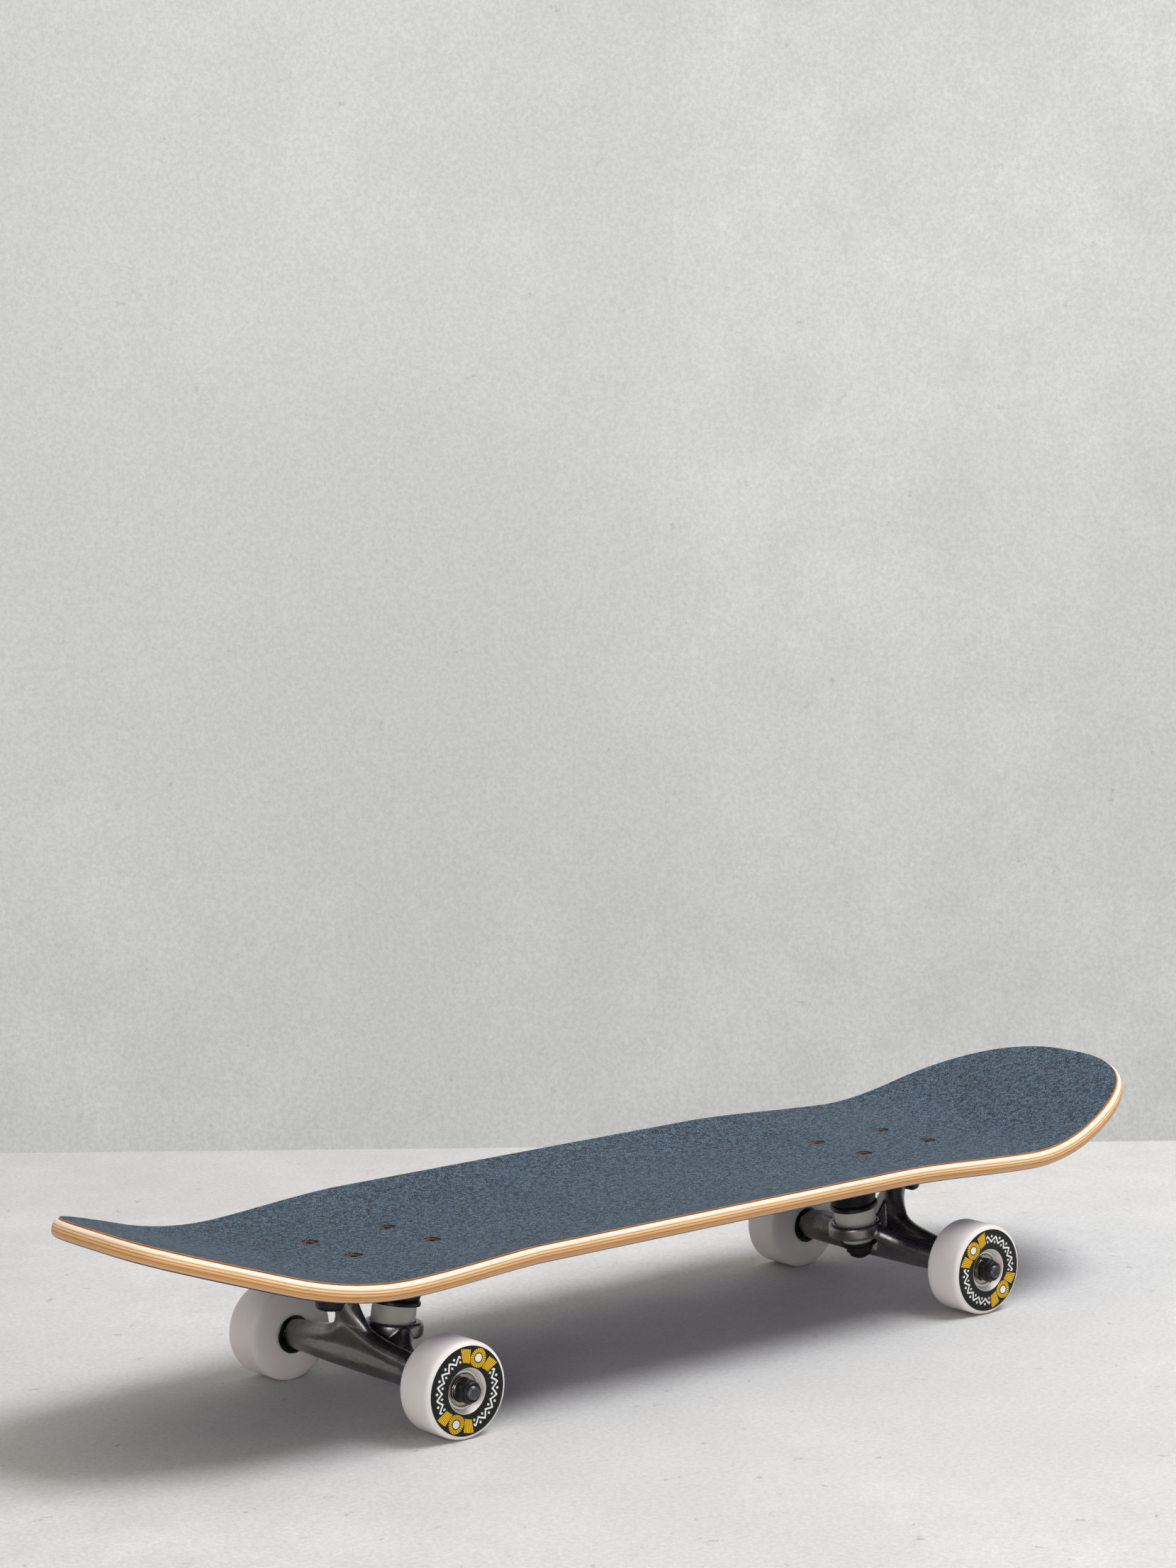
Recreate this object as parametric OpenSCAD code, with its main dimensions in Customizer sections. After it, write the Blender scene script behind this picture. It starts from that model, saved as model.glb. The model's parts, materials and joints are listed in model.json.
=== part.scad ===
// Street skateboard on two standard-kingpin trucks.
// Millimetres. +X runs along the board from nose to tail, +Z is up, and the wheels stand on Z = 0.
// The origin is below the middle of the deck's length.

/* [Deck] */
// Distance between the two inner rows of mounting bolts
wheelbase = 331; // [300:1:380]
// Widest part of the deck
deck_w = 195; // [180:1:215]
// Thickness of the pressed seven-ply deck
deck_t = 9.7; // [9:0.1:12.5]
// Nose length beyond the outer bolt row
nose_l = 156.5; // [150:1:185]
// Tail length beyond the outer bolt row
tail_l = 152; // [140:1:175]
// Flat left between the outer bolts and the nose kick
nose_flat = 16.5; // [15:0.5:25]
// Flat left between the outer bolts and the tail kick
tail_flat = 17.5; // [15:0.5:25]
// Bend radius of the nose kick
nose_bend = 210; // [140:1:260]
// Bend radius of the tail kick
tail_bend = 176; // [140:1:260]
// Angle of the nose above the flat
nose_angle = 19; // [12:0.5:24]
// Angle of the tail above the flat
tail_angle = 18; // [12:0.5:24]
// How far the deck's edges rise above its centre
concave = 8.3; // [3:0.1:12]
// Half width of the flat between the concave sides
flat_half = 30; // [29:0.5:40]
// Depth of the rounding on the deck's edge
edge_drop = 4.2; // [2:0.1:4.5]
// Width of the rounding on the deck's edge
edge_in = 2.6; // [1.5:0.1:4]

/* [Grip tape] */
// Thickness of the grip tape
grip_t = 0.8; // [0.6:0.1:1.2]

/* [Mounting bolts] */
// Bolt spacing along the board
bolt_long = 53.98; // [50:0.01:60]
// Bolt spacing across the board
bolt_wide = 41.28; // [38:0.01:44]
// Bolt diameter
bolt_d = 4.8; // [4:0.1:5.2]
// Head diameter of a mounting bolt
bolt_head_d = 9.6; // [8.5:0.1:10.5]
// Length of a mounting bolt with its head
bolt_l = 25.4; // [24:0.1:30]
// Clearance around a bolt in its hole
bolt_gap = 0.15; // [0.1:0.05:0.3]
// Width across flats of a mounting nut
nut_af = 8.7; // [8:0.1:9.5]
// Height of a mounting nut
nut_h = 5; // [4:0.1:6]

/* [Baseplate] */
// Height of the deck's underside above the axle
truck_h = 54.7; // [52:0.1:58]
// Thickness of the baseplate's flange
plate_t = 5.5; // [4.5:0.1:6]
// Baseplate length
plate_l = 81; // [76:0.5:84]
// Baseplate width
plate_w = 56; // [53:0.5:58]
// Outer radius of the pivot housing
housing_r = 9.3; // [9:0.1:10.5]

/* [Steering] */
// Angle of the steering axis above the horizontal
steer_angle = 34; // [32:0.5:36]
// Lean of the kingpin away from the vertical
kingpin_lean = 10; // [6:0.5:14]
// Distance from the bolt pattern's middle in to the centre of the hanger's ring
ring_in = 13.5; // [12.5:0.1:15]
// Height of the ring's centre above the axle
ring_up = 13.5; // [12.5:0.1:14.5]
// Distance from the bolt pattern's middle out to the axle
axle_out = 6.4; // [5:0.1:8]
// Distance from the bolt pattern's middle out to the mouth of the pivot housing
pivot_out = 22.5; // [21.5:0.1:24]
// Radius of the pivot nub on the hanger
nub_r = 4.6; // [4.2:0.1:4.8]
// How far the pivot housing reaches below the middle of its mouth
housing_drop = 6.7; // [6.5:0.1:8]
// Running clearance of the nub in the pivot cup
nub_gap = 0.1; // [0.05:0.01:0.1]
// Wall of the urethane pivot cup
cup_wall = 1.8; // [1.5:0.1:2]

/* [Kingpin and bushings] */
// Kingpin diameter
kingpin_d = 9.5; // [9:0.1:10]
// Diameter of the barrel bushing on the deck side
barrel_d = 25.4; // [24:0.1:26]
// Height of the barrel bushing
barrel_h = 13.3; // [12:0.1:14]
// Wide end of the cone bushing on the road side
cone_d = 22; // [20:0.1:23]
// Narrow end of the cone bushing
cone_tip_d = 19; // [17:0.1:20]
// Height of the cone bushing
cone_h = 6.8; // [6:0.1:9]
// Sheet thickness of the cup washers
washer_t = 1.6; // [1.2:0.1:2.2]
// Width across flats of the kingpin nut
king_nut_af = 14.3; // [13:0.1:15]
// Height of the kingpin nut
king_nut_h = 7.2; // [6:0.1:9]

/* [Hanger] */
// Length of the hanger between the wheels' washers
hanger_w = 129; // [126:0.5:134]
// Radius of the hanger's barrel at its ends
barrel_end_r = 7.6; // [7:0.1:8.5]
// Radius of the hanger's barrel at its middle
barrel_mid_r = 8.7; // [8.2:0.1:9]
// Outer radius of the ring around the kingpin
ring_r = 16.9; // [16.2:0.1:17.5]
// Height of the ring with its two lips
ring_h = 9; // [8.4:0.1:10]
// Radius of the hole in the ring
ring_hole_r = 7.4; // [7:0.1:8]
// Half thickness of the web between the barrel and the neck
web_half = 5; // [4:0.1:6]
// Radius of the neck where it meets the pivot nub
neck_r = 6.8; // [6.2:0.1:7.2]

/* [Axle and bearings] */
// Axle diameter
axle_d = 7.94; // [7.9:0.01:8]
// Length of the axle
axle_l = 200; // [198:0.5:206]
// Outer diameter of a bearing
bearing_d = 22; // [21:0.1:23]
// Width of a bearing
bearing_w = 7; // [6:0.1:8]
// Length of the spacer between two bearings
spacer_l = 10; // [9:0.1:10.5]
// Thickness of a speed washer
speed_washer_t = 1.2; // [1:0.1:1.3]
// Diameter of a speed washer
speed_washer_d = 12.6; // [12:0.1:13]
// Width across flats of an axle nut
axle_nut_af = 12.7; // [12:0.1:13.5]
// Height of an axle nut
axle_nut_h = 7.4; // [6:0.1:8]

/* [Wheels] */
// Wheel diameter
wheel_d = 54.5; // [52:0.5:58]
// Reach of a wheel's printed face outward from the middle of its core
face_out = 15.6; // [14.5:0.1:17]
// Reach of a wheel's inner face inward from the middle of its core
face_in = 12.4; // [12.2:0.1:15]
// Outer edge of the flat tread, outward from the middle of the core
tread_out = 11.7; // [9:0.1:12]
// Inner edge of the flat tread, inward from the middle of the core
tread_in = 7.1; // [5:0.1:9]
// Diameter of the flat printed face
face_d = 49.6; // [44:0.2:50]
// Diameter of the opening in front of the outer bearing
mouth_d = 26.4; // [24:0.1:28]

/* [Hidden] */
$fn = 64;

// ---- Heights and places that follow from the sizes above ----
axle_z = wheel_d / 2;
deck_under_z = axle_z + truck_h;
deck_top_z = deck_under_z + deck_t;
outer_bolt = wheelbase / 2 + bolt_long;
// The tips reach a little past the top surface, because the deck's edge leans with the kick
nose_reach = outer_bolt + nose_l + deck_t / 2 * sin(nose_angle);
tail_reach = outer_bolt + tail_l + deck_t / 2 * sin(tail_angle);
mid_x = (nose_reach - tail_reach) / 2;
truck_x = (wheelbase + bolt_long) / 2;

// ---- Deck surface ----
// The outline leaves the straight sides before the nose bolts and near the tail bolts, as a superellipse
nose_taper = -70;
tail_taper = -19;
nose_power = [2.6, 3.3];
tail_power = [2.7, 2.5];
// The concave flattens towards each kick, between these distances from the outer bolts
nose_fade = [-83, 24];
tail_fade = [-98, 35];
// Share of the concave that is left in each kick
nose_scoop = 0.35;
tail_scoop = 0.25;
end_stations = 28;
fade_stations = 8;
side_rows = 4;
edge_steps = 8;
tip_half = 9;

function clamp01(v) = max(0, min(1, v));
function smooth(v) = let (c = clamp01(v)) c * c * (3 - 2 * c);
function at_nose(x) = x < mid_x;
function beyond_bolts(x) = abs(x - mid_x) - outer_bolt;

// Rise and slope of a kick: level, then a bend, then straight
function kick_rise(v, bend, angle) =
    v < bend * sin(angle)
        ? bend - sqrt(bend * bend - v * v)
        : bend * (1 - cos(angle)) + (v - bend * sin(angle)) * tan(angle);
function kick_slope(v, bend, angle) = v < bend * sin(angle) ? asin(v / bend) : angle;
function past_flat(x) = max(0, beyond_bolts(x) - (at_nose(x) ? nose_flat : tail_flat));
function rise(x) = at_nose(x)
    ? kick_rise(past_flat(x), nose_bend, nose_angle)
    : kick_rise(past_flat(x), tail_bend, tail_angle);
function slope(x) = at_nose(x)
    ? kick_slope(past_flat(x), nose_bend, nose_angle)
    : kick_slope(past_flat(x), tail_bend, tail_angle);

function fade(x) = let (
    span = at_nose(x) ? nose_fade : tail_fade,
    scoop = at_nose(x) ? nose_scoop : tail_scoop
) 1 - (1 - scoop) * smooth((beyond_bolts(x) - span[0]) / (span[1] - span[0]));
function cupped(x, y) = let (v = max(0, abs(y) - flat_half) / (deck_w / 2 - flat_half))
    concave * v * v * fade(x);

// A point at a depth below the deck's top surface, measured square to the kick
function board_point(x, y, depth) = let (s = at_nose(x) ? -1 : 1) [
    x + s * depth * sin(slope(x)),
    y,
    deck_top_z + rise(x) + cupped(x, y) - depth * cos(slope(x))
];

// Half outline from nose to tail, on the +Y side
nose_start = mid_x - outer_bolt - nose_taper;
tail_start = mid_x + outer_bolt + tail_taper;
nose_run = outer_bolt + nose_l + nose_start - mid_x;
tail_run = outer_bolt + tail_l - (tail_start - mid_x);
function tip_turn(power) = acos(pow(tip_half / (deck_w / 2), power[1] / 2));
function end_turn(i, power) = tip_turn(power) * pow(i / end_stations, 1.2);
function end_point(run, power, turn) = [
    run * pow(sin(turn), 2 / power[0]),
    deck_w / 2 * pow(cos(turn), 2 / power[1])
];
nose_side = [for (i = [end_stations:-1:1])
    let (p = end_point(nose_run, nose_power, end_turn(i, nose_power)))
        [nose_start - p[0], p[1]]];
tail_side = [for (i = [1:end_stations])
    let (p = end_point(tail_run, tail_power, end_turn(i, tail_power)))
        [tail_start + p[0], p[1]]];
fade_start = mid_x + outer_bolt + tail_fade[0];
middle = concat(
    [[nose_start, deck_w / 2], [mid_x, deck_w / 2]],
    [for (i = [0:fade_stations]) [fade_start + (tail_start - fade_start) * i / fade_stations, deck_w / 2]]
);
outline = concat(nose_side, middle, tail_side);
last = len(outline) - 1;

function mirrored(p) = [p[0], -p[1]];
function before(i) = i == 0 ? mirrored(outline[0]) : outline[i - 1];
function after(i) = i == last ? mirrored(outline[last]) : outline[i + 1];
function outward(i) = let (d = after(i) - before(i)) [-d[1], d[0]] / norm(d);
normals = [for (i = [0:last]) outward(i)];
function inset_point(i, inset) = outline[i] - normals[i] * inset;

// The rounded edge: inset from the outline and depth below the top surface
edge_profile = [for (j = [0:edge_steps]) let (
    half = edge_steps / 2,
    upper = j <= half - 1,
    turn = upper ? 90 * j / (half - 1) : 90 * (edge_steps - j) / (half - 1),
    drop = edge_drop * (1 - cos(min(90, turn))),
    inward = edge_in * (1 - sin(min(90, turn)))
) j == half ? [0, deck_t / 2] : [inward, upper ? drop : deck_t - drop]];

// Places across the board, as shares of its half width, with the flat centre left as one strip
flat_share = flat_half / (deck_w / 2);
shares = [for (k = [0:side_rows]) 1 + (flat_share - 1) * k / side_rows];
across = concat(shares, [for (k = [side_rows:-1:0]) -shares[k]]);
function row(i, depth) = let (p = inset_point(i, edge_in))
    [for (s = across) board_point(p[0], p[1] * s, depth)];
function edge_points(i, side) = [for (j = [1:edge_steps - 1]) let (p = inset_point(i, edge_profile[j][0]))
    board_point(p[0], p[1] * side, edge_profile[j][1])];
function reversed(v) = [for (k = [len(v) - 1:-1:0]) v[k]];
function board_ring(i) = concat(
    row(i, 0), edge_points(i, -1),
    reversed(row(i, deck_t)), reversed(edge_points(i, 1))
);
// The tape's underside lies just clear of the wood
glue_gap = 0.01;
function tape_ring(i) = concat(row(i, -glue_gap), reversed(row(i, -grip_t)));

// Skin over rings of equal size, and the blunt ends that close it
function skin_faces(rings, size) = [for (i = [0:rings - 2]) for (k = [0:size - 1]) let (
    a = i * size + k,
    b = i * size + (k + 1) % size
) each [[a, b, b + size], [a, b + size, a + size]]];
function flipped(faces) = [for (f = faces) reversed(f)];

// The end of the deck: the top row, the rounded edge and the bottom row, joined straight across
wide = len(across);
function tip_faces() = let (right = wide, left = 2 * wide + 2 * edge_steps - 3, size = left + 1) concat(
    [for (k = [0:wide - 2]) [k, right, k + 1]],
    [[0, left, right]],
    [for (j = [0:edge_steps - 3]) each [
        [right + j, left - j, left - j - 1],
        [right + j, left - j - 1, right + j + 1]
    ]],
    let (lower = right + edge_steps - 2) [for (k = [1:wide - 1]) [lower, lower + k + 1, lower + k]],
    let (lower = right + edge_steps - 2) [[lower, lower + wide + 1, lower + wide]]
);
function strip_faces(half) = [for (k = [0:half - 2]) let (c = 2 * half - 2 - k)
    each [[k, c + 1, c], [k, c, k + 1]]];
function moved(faces, by) = [for (f = faces) [for (v = f) v + by]];

// ---- Placing ----
// Trucks are drawn at the rear, with +X towards the tail, from the middle of the bolt pattern
module at_truck(front) {
    translate([mid_x + (front ? -truck_x : truck_x), 0, 0])
        rotate(front ? 180 : 0)
            children();
}

module bolt_places() {
    for (x = [-1, 1], y = [-1, 1])
        translate([x * bolt_long / 2, y * bolt_wide / 2, 0])
            children();
}

// ---- Deck and grip tape ----
module deck() {
    size = 2 * wide + 2 * (edge_steps - 1);
    color("burlywood")
        difference() {
            polyhedron(
                [for (i = [0:last]) each board_ring(i)],
                concat(
                    flipped(skin_faces(last + 1, size)),
                    flipped(tip_faces()),
                    moved(tip_faces(), last * size)
                )
            );
            for (front = [true, false])
                at_truck(front) bolt_places() bolt_hole();
        }
}

module bolt_hole() {
    translate([0, 0, deck_under_z - 1])
        cylinder(r = bolt_d / 2 + bolt_gap, h = deck_t + 2);
    head = bolt_head_d / 2 + bolt_gap;
    translate([0, 0, deck_top_z - head + bolt_d / 2])
        cylinder(r1 = bolt_d / 2, r2 = head, h = head - bolt_d / 2);
}

module grip_tape() {
    size = 2 * wide;
    color("darkslategray")
        difference() {
            polyhedron(
                [for (i = [0:last]) each tape_ring(i)],
                concat(
                    skin_faces(last + 1, size),
                    strip_faces(wide),
                    moved(flipped(strip_faces(wide)), last * size)
                )
            );
            for (front = [true, false])
                at_truck(front) bolt_places()
                    translate([0, 0, deck_top_z - 1])
                        cylinder(d = bolt_head_d + 2 * bolt_gap, h = grip_t + 2);
        }
}

// ---- Mounting hardware ----
module mounting_bolts(front) {
    color("black") at_truck(front) bolt_places() mounting_bolt();
}

module mounting_bolt() {
    head_h = (bolt_head_d - bolt_d) / 2;
    socket_d = 3.6;
    socket_deep = 2.2;
    difference() {
        union() {
            translate([0, 0, deck_top_z - head_h])
                cylinder(d1 = bolt_d, d2 = bolt_head_d, h = head_h);
            translate([0, 0, deck_top_z - bolt_l])
                cylinder(d = bolt_d, h = bolt_l - head_h);
        }
        translate([0, 0, deck_top_z - socket_deep])
            cylinder(d = socket_d, h = socket_deep + 1, $fn = 6);
    }
}

module mounting_nuts(front) {
    color("black") at_truck(front) bolt_places()
        translate([0, 0, deck_under_z - plate_t - nut_h])
            lock_nut(nut_af, nut_h, bolt_d);
}

// A hexagon nut with a round collar on its lower end
module lock_nut(flats, high, bore) {
    collar_h = high * 0.3;
    collar_d = flats * 0.96;
    difference() {
        union() {
            intersection() {
                translate([0, 0, collar_h])
                    cylinder(d = flats / cos(30), h = high - collar_h, $fn = 6);
                translate([0, 0, collar_h])
                    nut_chamfer(flats, high - collar_h);
            }
            cylinder(d = collar_d, h = collar_h);
        }
        translate([0, 0, -1])
            cylinder(d = bore, h = high + 2);
    }
}

// Round envelope that bevels the six corners of a nut at both ends
module nut_chamfer(flats, high) {
    bevel = flats * 0.06;
    reach = flats / 2 / cos(30);
    rotate_extrude()
        polygon([
            [0, 0], [flats / 2, 0], [reach, bevel],
            [reach, high - bevel], [flats / 2, high], [0, high]
        ]);
}

// ---- Steering geometry, from the middle of the bolt pattern ----
ring_x = -ring_in;
ring_z = axle_z + ring_up;
pivot_z = ring_z + tan(steer_angle) * (pivot_out - ring_x);

// Along the steering axis: origin at the mouth of the pivot housing, +Z into the housing
module on_steering_axis() {
    translate([pivot_out, 0, pivot_z])
        rotate([0, 90 - steer_angle, 0])
            children();
}

// Along the kingpin: origin at the middle of the ring, +Z up into the baseplate
module on_kingpin() {
    translate([ring_x, 0, ring_z])
        rotate([0, -kingpin_lean, 0])
            children();
}

// Stack along the kingpin, from the ring's middle
dish_deep = 2.8;
cone_dish_deep = 2.2;
barrel_seat = ring_h / 2 - dish_deep;
barrel_top = barrel_seat + barrel_h;
plate_seat = barrel_top + washer_t;
cone_seat = -ring_h / 2 + cone_dish_deep;
cone_bottom = cone_seat - cone_h;
nut_top = cone_bottom - washer_t;
nut_bottom = nut_top - king_nut_h;
cup_deep = 10.4;
dish_gap = 0.5;

// ---- Baseplate ----
module baseplate(front) {
    color("dimgray")
        at_truck(front)
            difference() {
                union() {
                    plate_flange();
                    kingpin_boss();
                    pivot_housing();
                    plate_spine();
                }
                bolt_places() {
                    translate([0, 0, deck_under_z - plate_t - 1])
                        cylinder(r = bolt_d / 2 + bolt_gap, h = plate_t + 2);
                    translate([0, 0, deck_under_z - plate_t - 12])
                        cylinder(d = nut_af / cos(30) + 1.4, h = 12);
                }
                on_kingpin()
                    translate([0, 0, plate_seat - 1])
                        cylinder(d = kingpin_d, h = 60);
                on_kingpin()
                    translate([0, 0, plate_seat + kingpin_grip()])
                        cylinder(d = kingpin_head_d, h = 30);
                on_steering_axis()
                    translate([0, 0, -1])
                        cylinder(r = nub_r + nub_gap + cup_wall, h = cup_deep + 1);
            }
}

// The plate is a rounded rectangle with a bevelled lower edge
module plate_flange() {
    corner = 9;
    bevel = 1.5;
    film = 0.01;
    translate([0, 0, deck_under_z - plate_t])
        hull()
            for (level = [[bevel, 0], [0, bevel], [0, plate_t - film]])
                translate([0, 0, level[1]])
                    for (x = [-1, 1], y = [-1, 1])
                        translate([x * (plate_l / 2 - corner), y * (plate_w / 2 - corner), 0])
                            cylinder(r = corner - level[0], h = film, $fn = 40);
}

kingpin_head_d = 15.5;
kingpin_head_h = 6;
// Length of kingpin held in the baseplate, below its head
function kingpin_grip() = (deck_under_z - kingpin_head_h - 1.2 - ring_z) / cos(kingpin_lean) - plate_seat;

module kingpin_boss() {
    seat_r = barrel_d / 2 + washer_t + 0.4;
    intersection() {
        on_kingpin()
            translate([0, 0, plate_seat])
                cylinder(r1 = seat_r - 1.2, r2 = seat_r + 6, h = 34);
        translate([-plate_l / 2, -plate_w / 2, ring_z])
            cube([plate_l, plate_w, deck_under_z - ring_z]);
    }
}

// The housing is round where it shows, and cut square to the steering axis at its mouth
module pivot_housing() {
    centre = pivot_out + 4.9;
    low = pivot_z - housing_drop;
    round = 3;
    difference() {
        translate([centre, 0, low])
            rotate_extrude()
                polygon(concat(
                    [[0, 0]],
                    [for (a = [0:15:90]) [housing_r - round + round * sin(a), round - round * cos(a)]],
                    [[housing_r + 0.6, deck_under_z - low - 1], [0, deck_under_z - low - 1]]
                ));
        on_steering_axis()
            translate([0, 0, -40])
                cylinder(r = 40, h = 40);
    }
}

// The ridge that ties the kingpin's boss to the pivot housing, clear above the hanger's neck
module plate_spine() {
    thick = 12;
    deep = 3;
    hull() {
        translate([ring_x, -thick / 2, deck_under_z - plate_t])
            cube([pivot_out - ring_x + 6, thick, plate_t / 2]);
        translate([ring_x, -thick / 4, deck_under_z - plate_t - deep])
            cube([pivot_out - ring_x + 6, thick / 2, 2]);
    }
}

module pivot_cup(front) {
    floor_t = 1.7;
    lip_t = 0.9;
    inner = nub_r + nub_gap;
    color("white")
        at_truck(front)
            on_steering_axis()
                rotate_extrude()
                    polygon([
                        [inner, -lip_t], [inner + cup_wall + 0.5, -lip_t], [inner + cup_wall + 0.5, 0],
                        [inner + cup_wall, 0], [inner + cup_wall, cup_deep], [0, cup_deep],
                        [0, cup_deep - floor_t], [inner - 2, cup_deep - floor_t],
                        [inner, cup_deep - floor_t - 3]
                    ]);
}

module kingpin(front) {
    end_out = 1.2;
    shank = plate_seat + kingpin_grip() - nut_bottom + end_out;
    color("silver")
        at_truck(front)
            on_kingpin() {
                translate([0, 0, nut_bottom - end_out])
                    cylinder(d = kingpin_d, h = shank);
                translate([0, 0, plate_seat + kingpin_grip()])
                    intersection() {
                        cylinder(d = kingpin_head_d / cos(30) - 2, h = kingpin_head_h, $fn = 6);
                        cylinder(d = kingpin_head_d, h = kingpin_head_h);
                    }
            }
}

module kingpin_nut(front) {
    color("black")
        at_truck(front)
            on_kingpin()
                translate([0, 0, nut_bottom])
                    lock_nut(king_nut_af, king_nut_h, kingpin_d);
}

// Cup washer: a flat disc whose rim turns over the bushing's edge. +Z points away from the bushing
module cup_washer(bushing_d, rim_h) {
    gap = 0.3;
    rim_r = bushing_d / 2 + gap;
    rotate_extrude()
        polygon([
            [kingpin_d / 2, 0], [rim_r, 0], [rim_r, -rim_h], [rim_r + washer_t * 0.8, -rim_h],
            [rim_r + washer_t, -rim_h + 0.6], [rim_r + washer_t, washer_t * 0.4],
            [rim_r + washer_t * 0.5, washer_t], [kingpin_d / 2, washer_t]
        ]);
}

boardside_rim = 1.4;
roadside_rim = 1.3;

module boardside_washer(front) {
    color("black")
        at_truck(front)
            on_kingpin()
                translate([0, 0, barrel_top])
                    cup_washer(barrel_d, boardside_rim);
}

module roadside_washer(front) {
    color("black")
        at_truck(front)
            on_kingpin()
                translate([0, 0, cone_bottom])
                    mirror([0, 0, 1])
                        cup_washer(2 * cone_r(roadside_rim), roadside_rim);
}

bushing_gap = 0.2;

// The cone's radius at a height above its small end
function cone_r(high) = (cone_tip_d + (cone_d - cone_tip_d) * high / (cone_h - cone_dish_deep)) / 2;

// Barrel bushing: a short round column that bulges a little at its middle
module boardside_bushing(front) {
    bulge = 0.35;
    color("ivory")
        at_truck(front)
            on_kingpin()
                translate([0, 0, barrel_seat])
                    rotate_extrude()
                        polygon(concat(
                            [[kingpin_d / 2 + bushing_gap, 0]],
                            [for (k = [0:6]) [barrel_d / 2 - bulge * pow(k / 3 - 1, 2), barrel_h * k / 6]],
                            [[kingpin_d / 2 + bushing_gap, barrel_h]]
                        ));
}

module roadside_bushing(front) {
    color("ivory")
        at_truck(front)
            on_kingpin()
                translate([0, 0, cone_bottom])
                    rotate_extrude()
                        polygon([
                            [kingpin_d / 2 + bushing_gap, 0], [cone_tip_d / 2, 0],
                            [cone_d / 2, cone_h - cone_dish_deep], [cone_d / 2, cone_h],
                            [kingpin_d / 2 + bushing_gap, cone_h]
                        ]);
}

// ---- Hanger ----
// The casting's section at a station across the board is one closed curve around the axle:
// the round barrel, the web that rises to the pivot, and the arm that reaches in to the ring.
// The web and the arm are plates that end in a round rim
web_dir = 66;
arm_dir = 144;
web_plate = web_half - 1.2;
arm_plate = 3.6;
arm_rim = 4.5;
web_top = 19.5;
web_end = 9.2;
neck_rise = 8;
neck_spread = 15;
arm_top = 25;
arm_flat = 16;
arm_fall = 13;
rib_half = 4.2;

// The neck bends from the web into the steering axis at this point
function pivot_bend_x() = 17.2;
function pivot_bend_z() = ring_z + tan(steer_angle) * (pivot_bend_x() - ring_x);

function barrel_r(y) = barrel_end_r + (barrel_mid_r - barrel_end_r) * (1 - pow(y / (hanger_w / 2), 2));
function web_reach(y) = let (v = abs(y) / (hanger_w / 2))
    web_top + (web_end - web_top) * pow(v, 1.2) + neck_rise * exp(-pow(y / neck_spread, 2));
function arm_reach(y) = let (v = max(0, abs(y) - arm_flat) / arm_fall)
    barrel_end_r + (arm_top - barrel_end_r) / (1 + pow(v, 1.8));

// Distance to the outside of a plate with a round rim, at an angle away from the plate's own direction
function plate_r(reach, rim, half, away) = let (
    d = max(0.1, reach - rim),
    s = max(0.001, abs(sin(away))),
    c = cos(away)
) c <= 0.02 ? 0 : max(s * d < rim ? d * c + sqrt(rim * rim - d * d * s * s) : 0, min(half / s, d / c));

// The rib's edge is a straight line from the neck to the back of the ring
rib_neck = [12.5, 57];
rib_ring = [1.5, 43.5];
rib_line = let (d = rib_neck - rib_ring) [-d[1], d[0]] / norm(d);
rib_away = rib_line * (rib_ring - [axle_out, axle_z]);
rib_line_dir = atan2(rib_line[1], rib_line[0]);
function rib_reach(y, angle) = let (c = cos(angle - rib_line_dir))
    (c < 0.4 ? 0 : rib_away / c * smooth((angle - web_dir + 8) / 12) * smooth((arm_dir + 8 - angle) / 14))
    * exp(-pow(y / rib_half, 4));

function section_r(y, angle) = let (k = 4.5) pow(
    pow(barrel_r(y), k)
    + pow(plate_r(web_reach(y), web_half, web_plate, angle - web_dir), k)
    + pow(plate_r(arm_reach(y), arm_rim, arm_plate, angle - arm_dir), k)
    + pow(max(0, rib_reach(y, angle)), k),
    1 / k);

// The section's angles follow the two rims, so that a rim stays one smooth line along the casting
rim_steps = [-1.9, -1.45, -1.15, -0.97, -0.8, -0.45, 0, 0.45, 0.8, 0.97, 1.15, 1.45];
between_steps = 3;
under_steps = 9;
widest_rim = 25;
function rim_turn(reach, rim) = min(widest_rim, asin(min(1, rim / max(0.1, reach - rim))));
function spread(from, to, steps) = [for (k = [1:steps]) from + (to - from) * k / (steps + 1)];
function section_angles(y) = let (
    web_turn = rim_turn(web_reach(y), web_half),
    arm_turn = rim_turn(arm_reach(y), arm_rim),
    web_first = web_dir + rim_steps[0] * web_turn,
    web_last = web_dir + rim_steps[11] * web_turn,
    arm_first = arm_dir - rim_steps[11] * arm_turn,
    arm_last = arm_dir - rim_steps[0] * arm_turn
) concat(
    [for (v = rim_steps) web_dir + v * web_turn],
    spread(web_last, arm_first, between_steps),
    [for (k = [11:-1:0]) arm_dir - rim_steps[k] * arm_turn],
    spread(arm_last, 360 + web_first, under_steps)
);
section_points = 2 * len(rim_steps) + between_steps + under_steps;
hanger_stations = 40;
function station_y(i) = let (v = 2 * i / hanger_stations - 1) hanger_w / 2 * sign(v) * pow(abs(v), 1.3);
function section(y) = [for (a = section_angles(y)) let (r = section_r(y, a))
    [axle_out + r * cos(a), y, axle_z + r * sin(a)]];

module hanger_casting() {
    polyhedron(
        [for (i = [0:hanger_stations]) each section(station_y(i))],
        concat(
            skin_faces(hanger_stations + 1, section_points),
            [[for (k = [section_points - 1:-1:0]) k]],
            [[for (k = [0:section_points - 1]) hanger_stations * section_points + k]]
        )
    );
}

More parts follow.
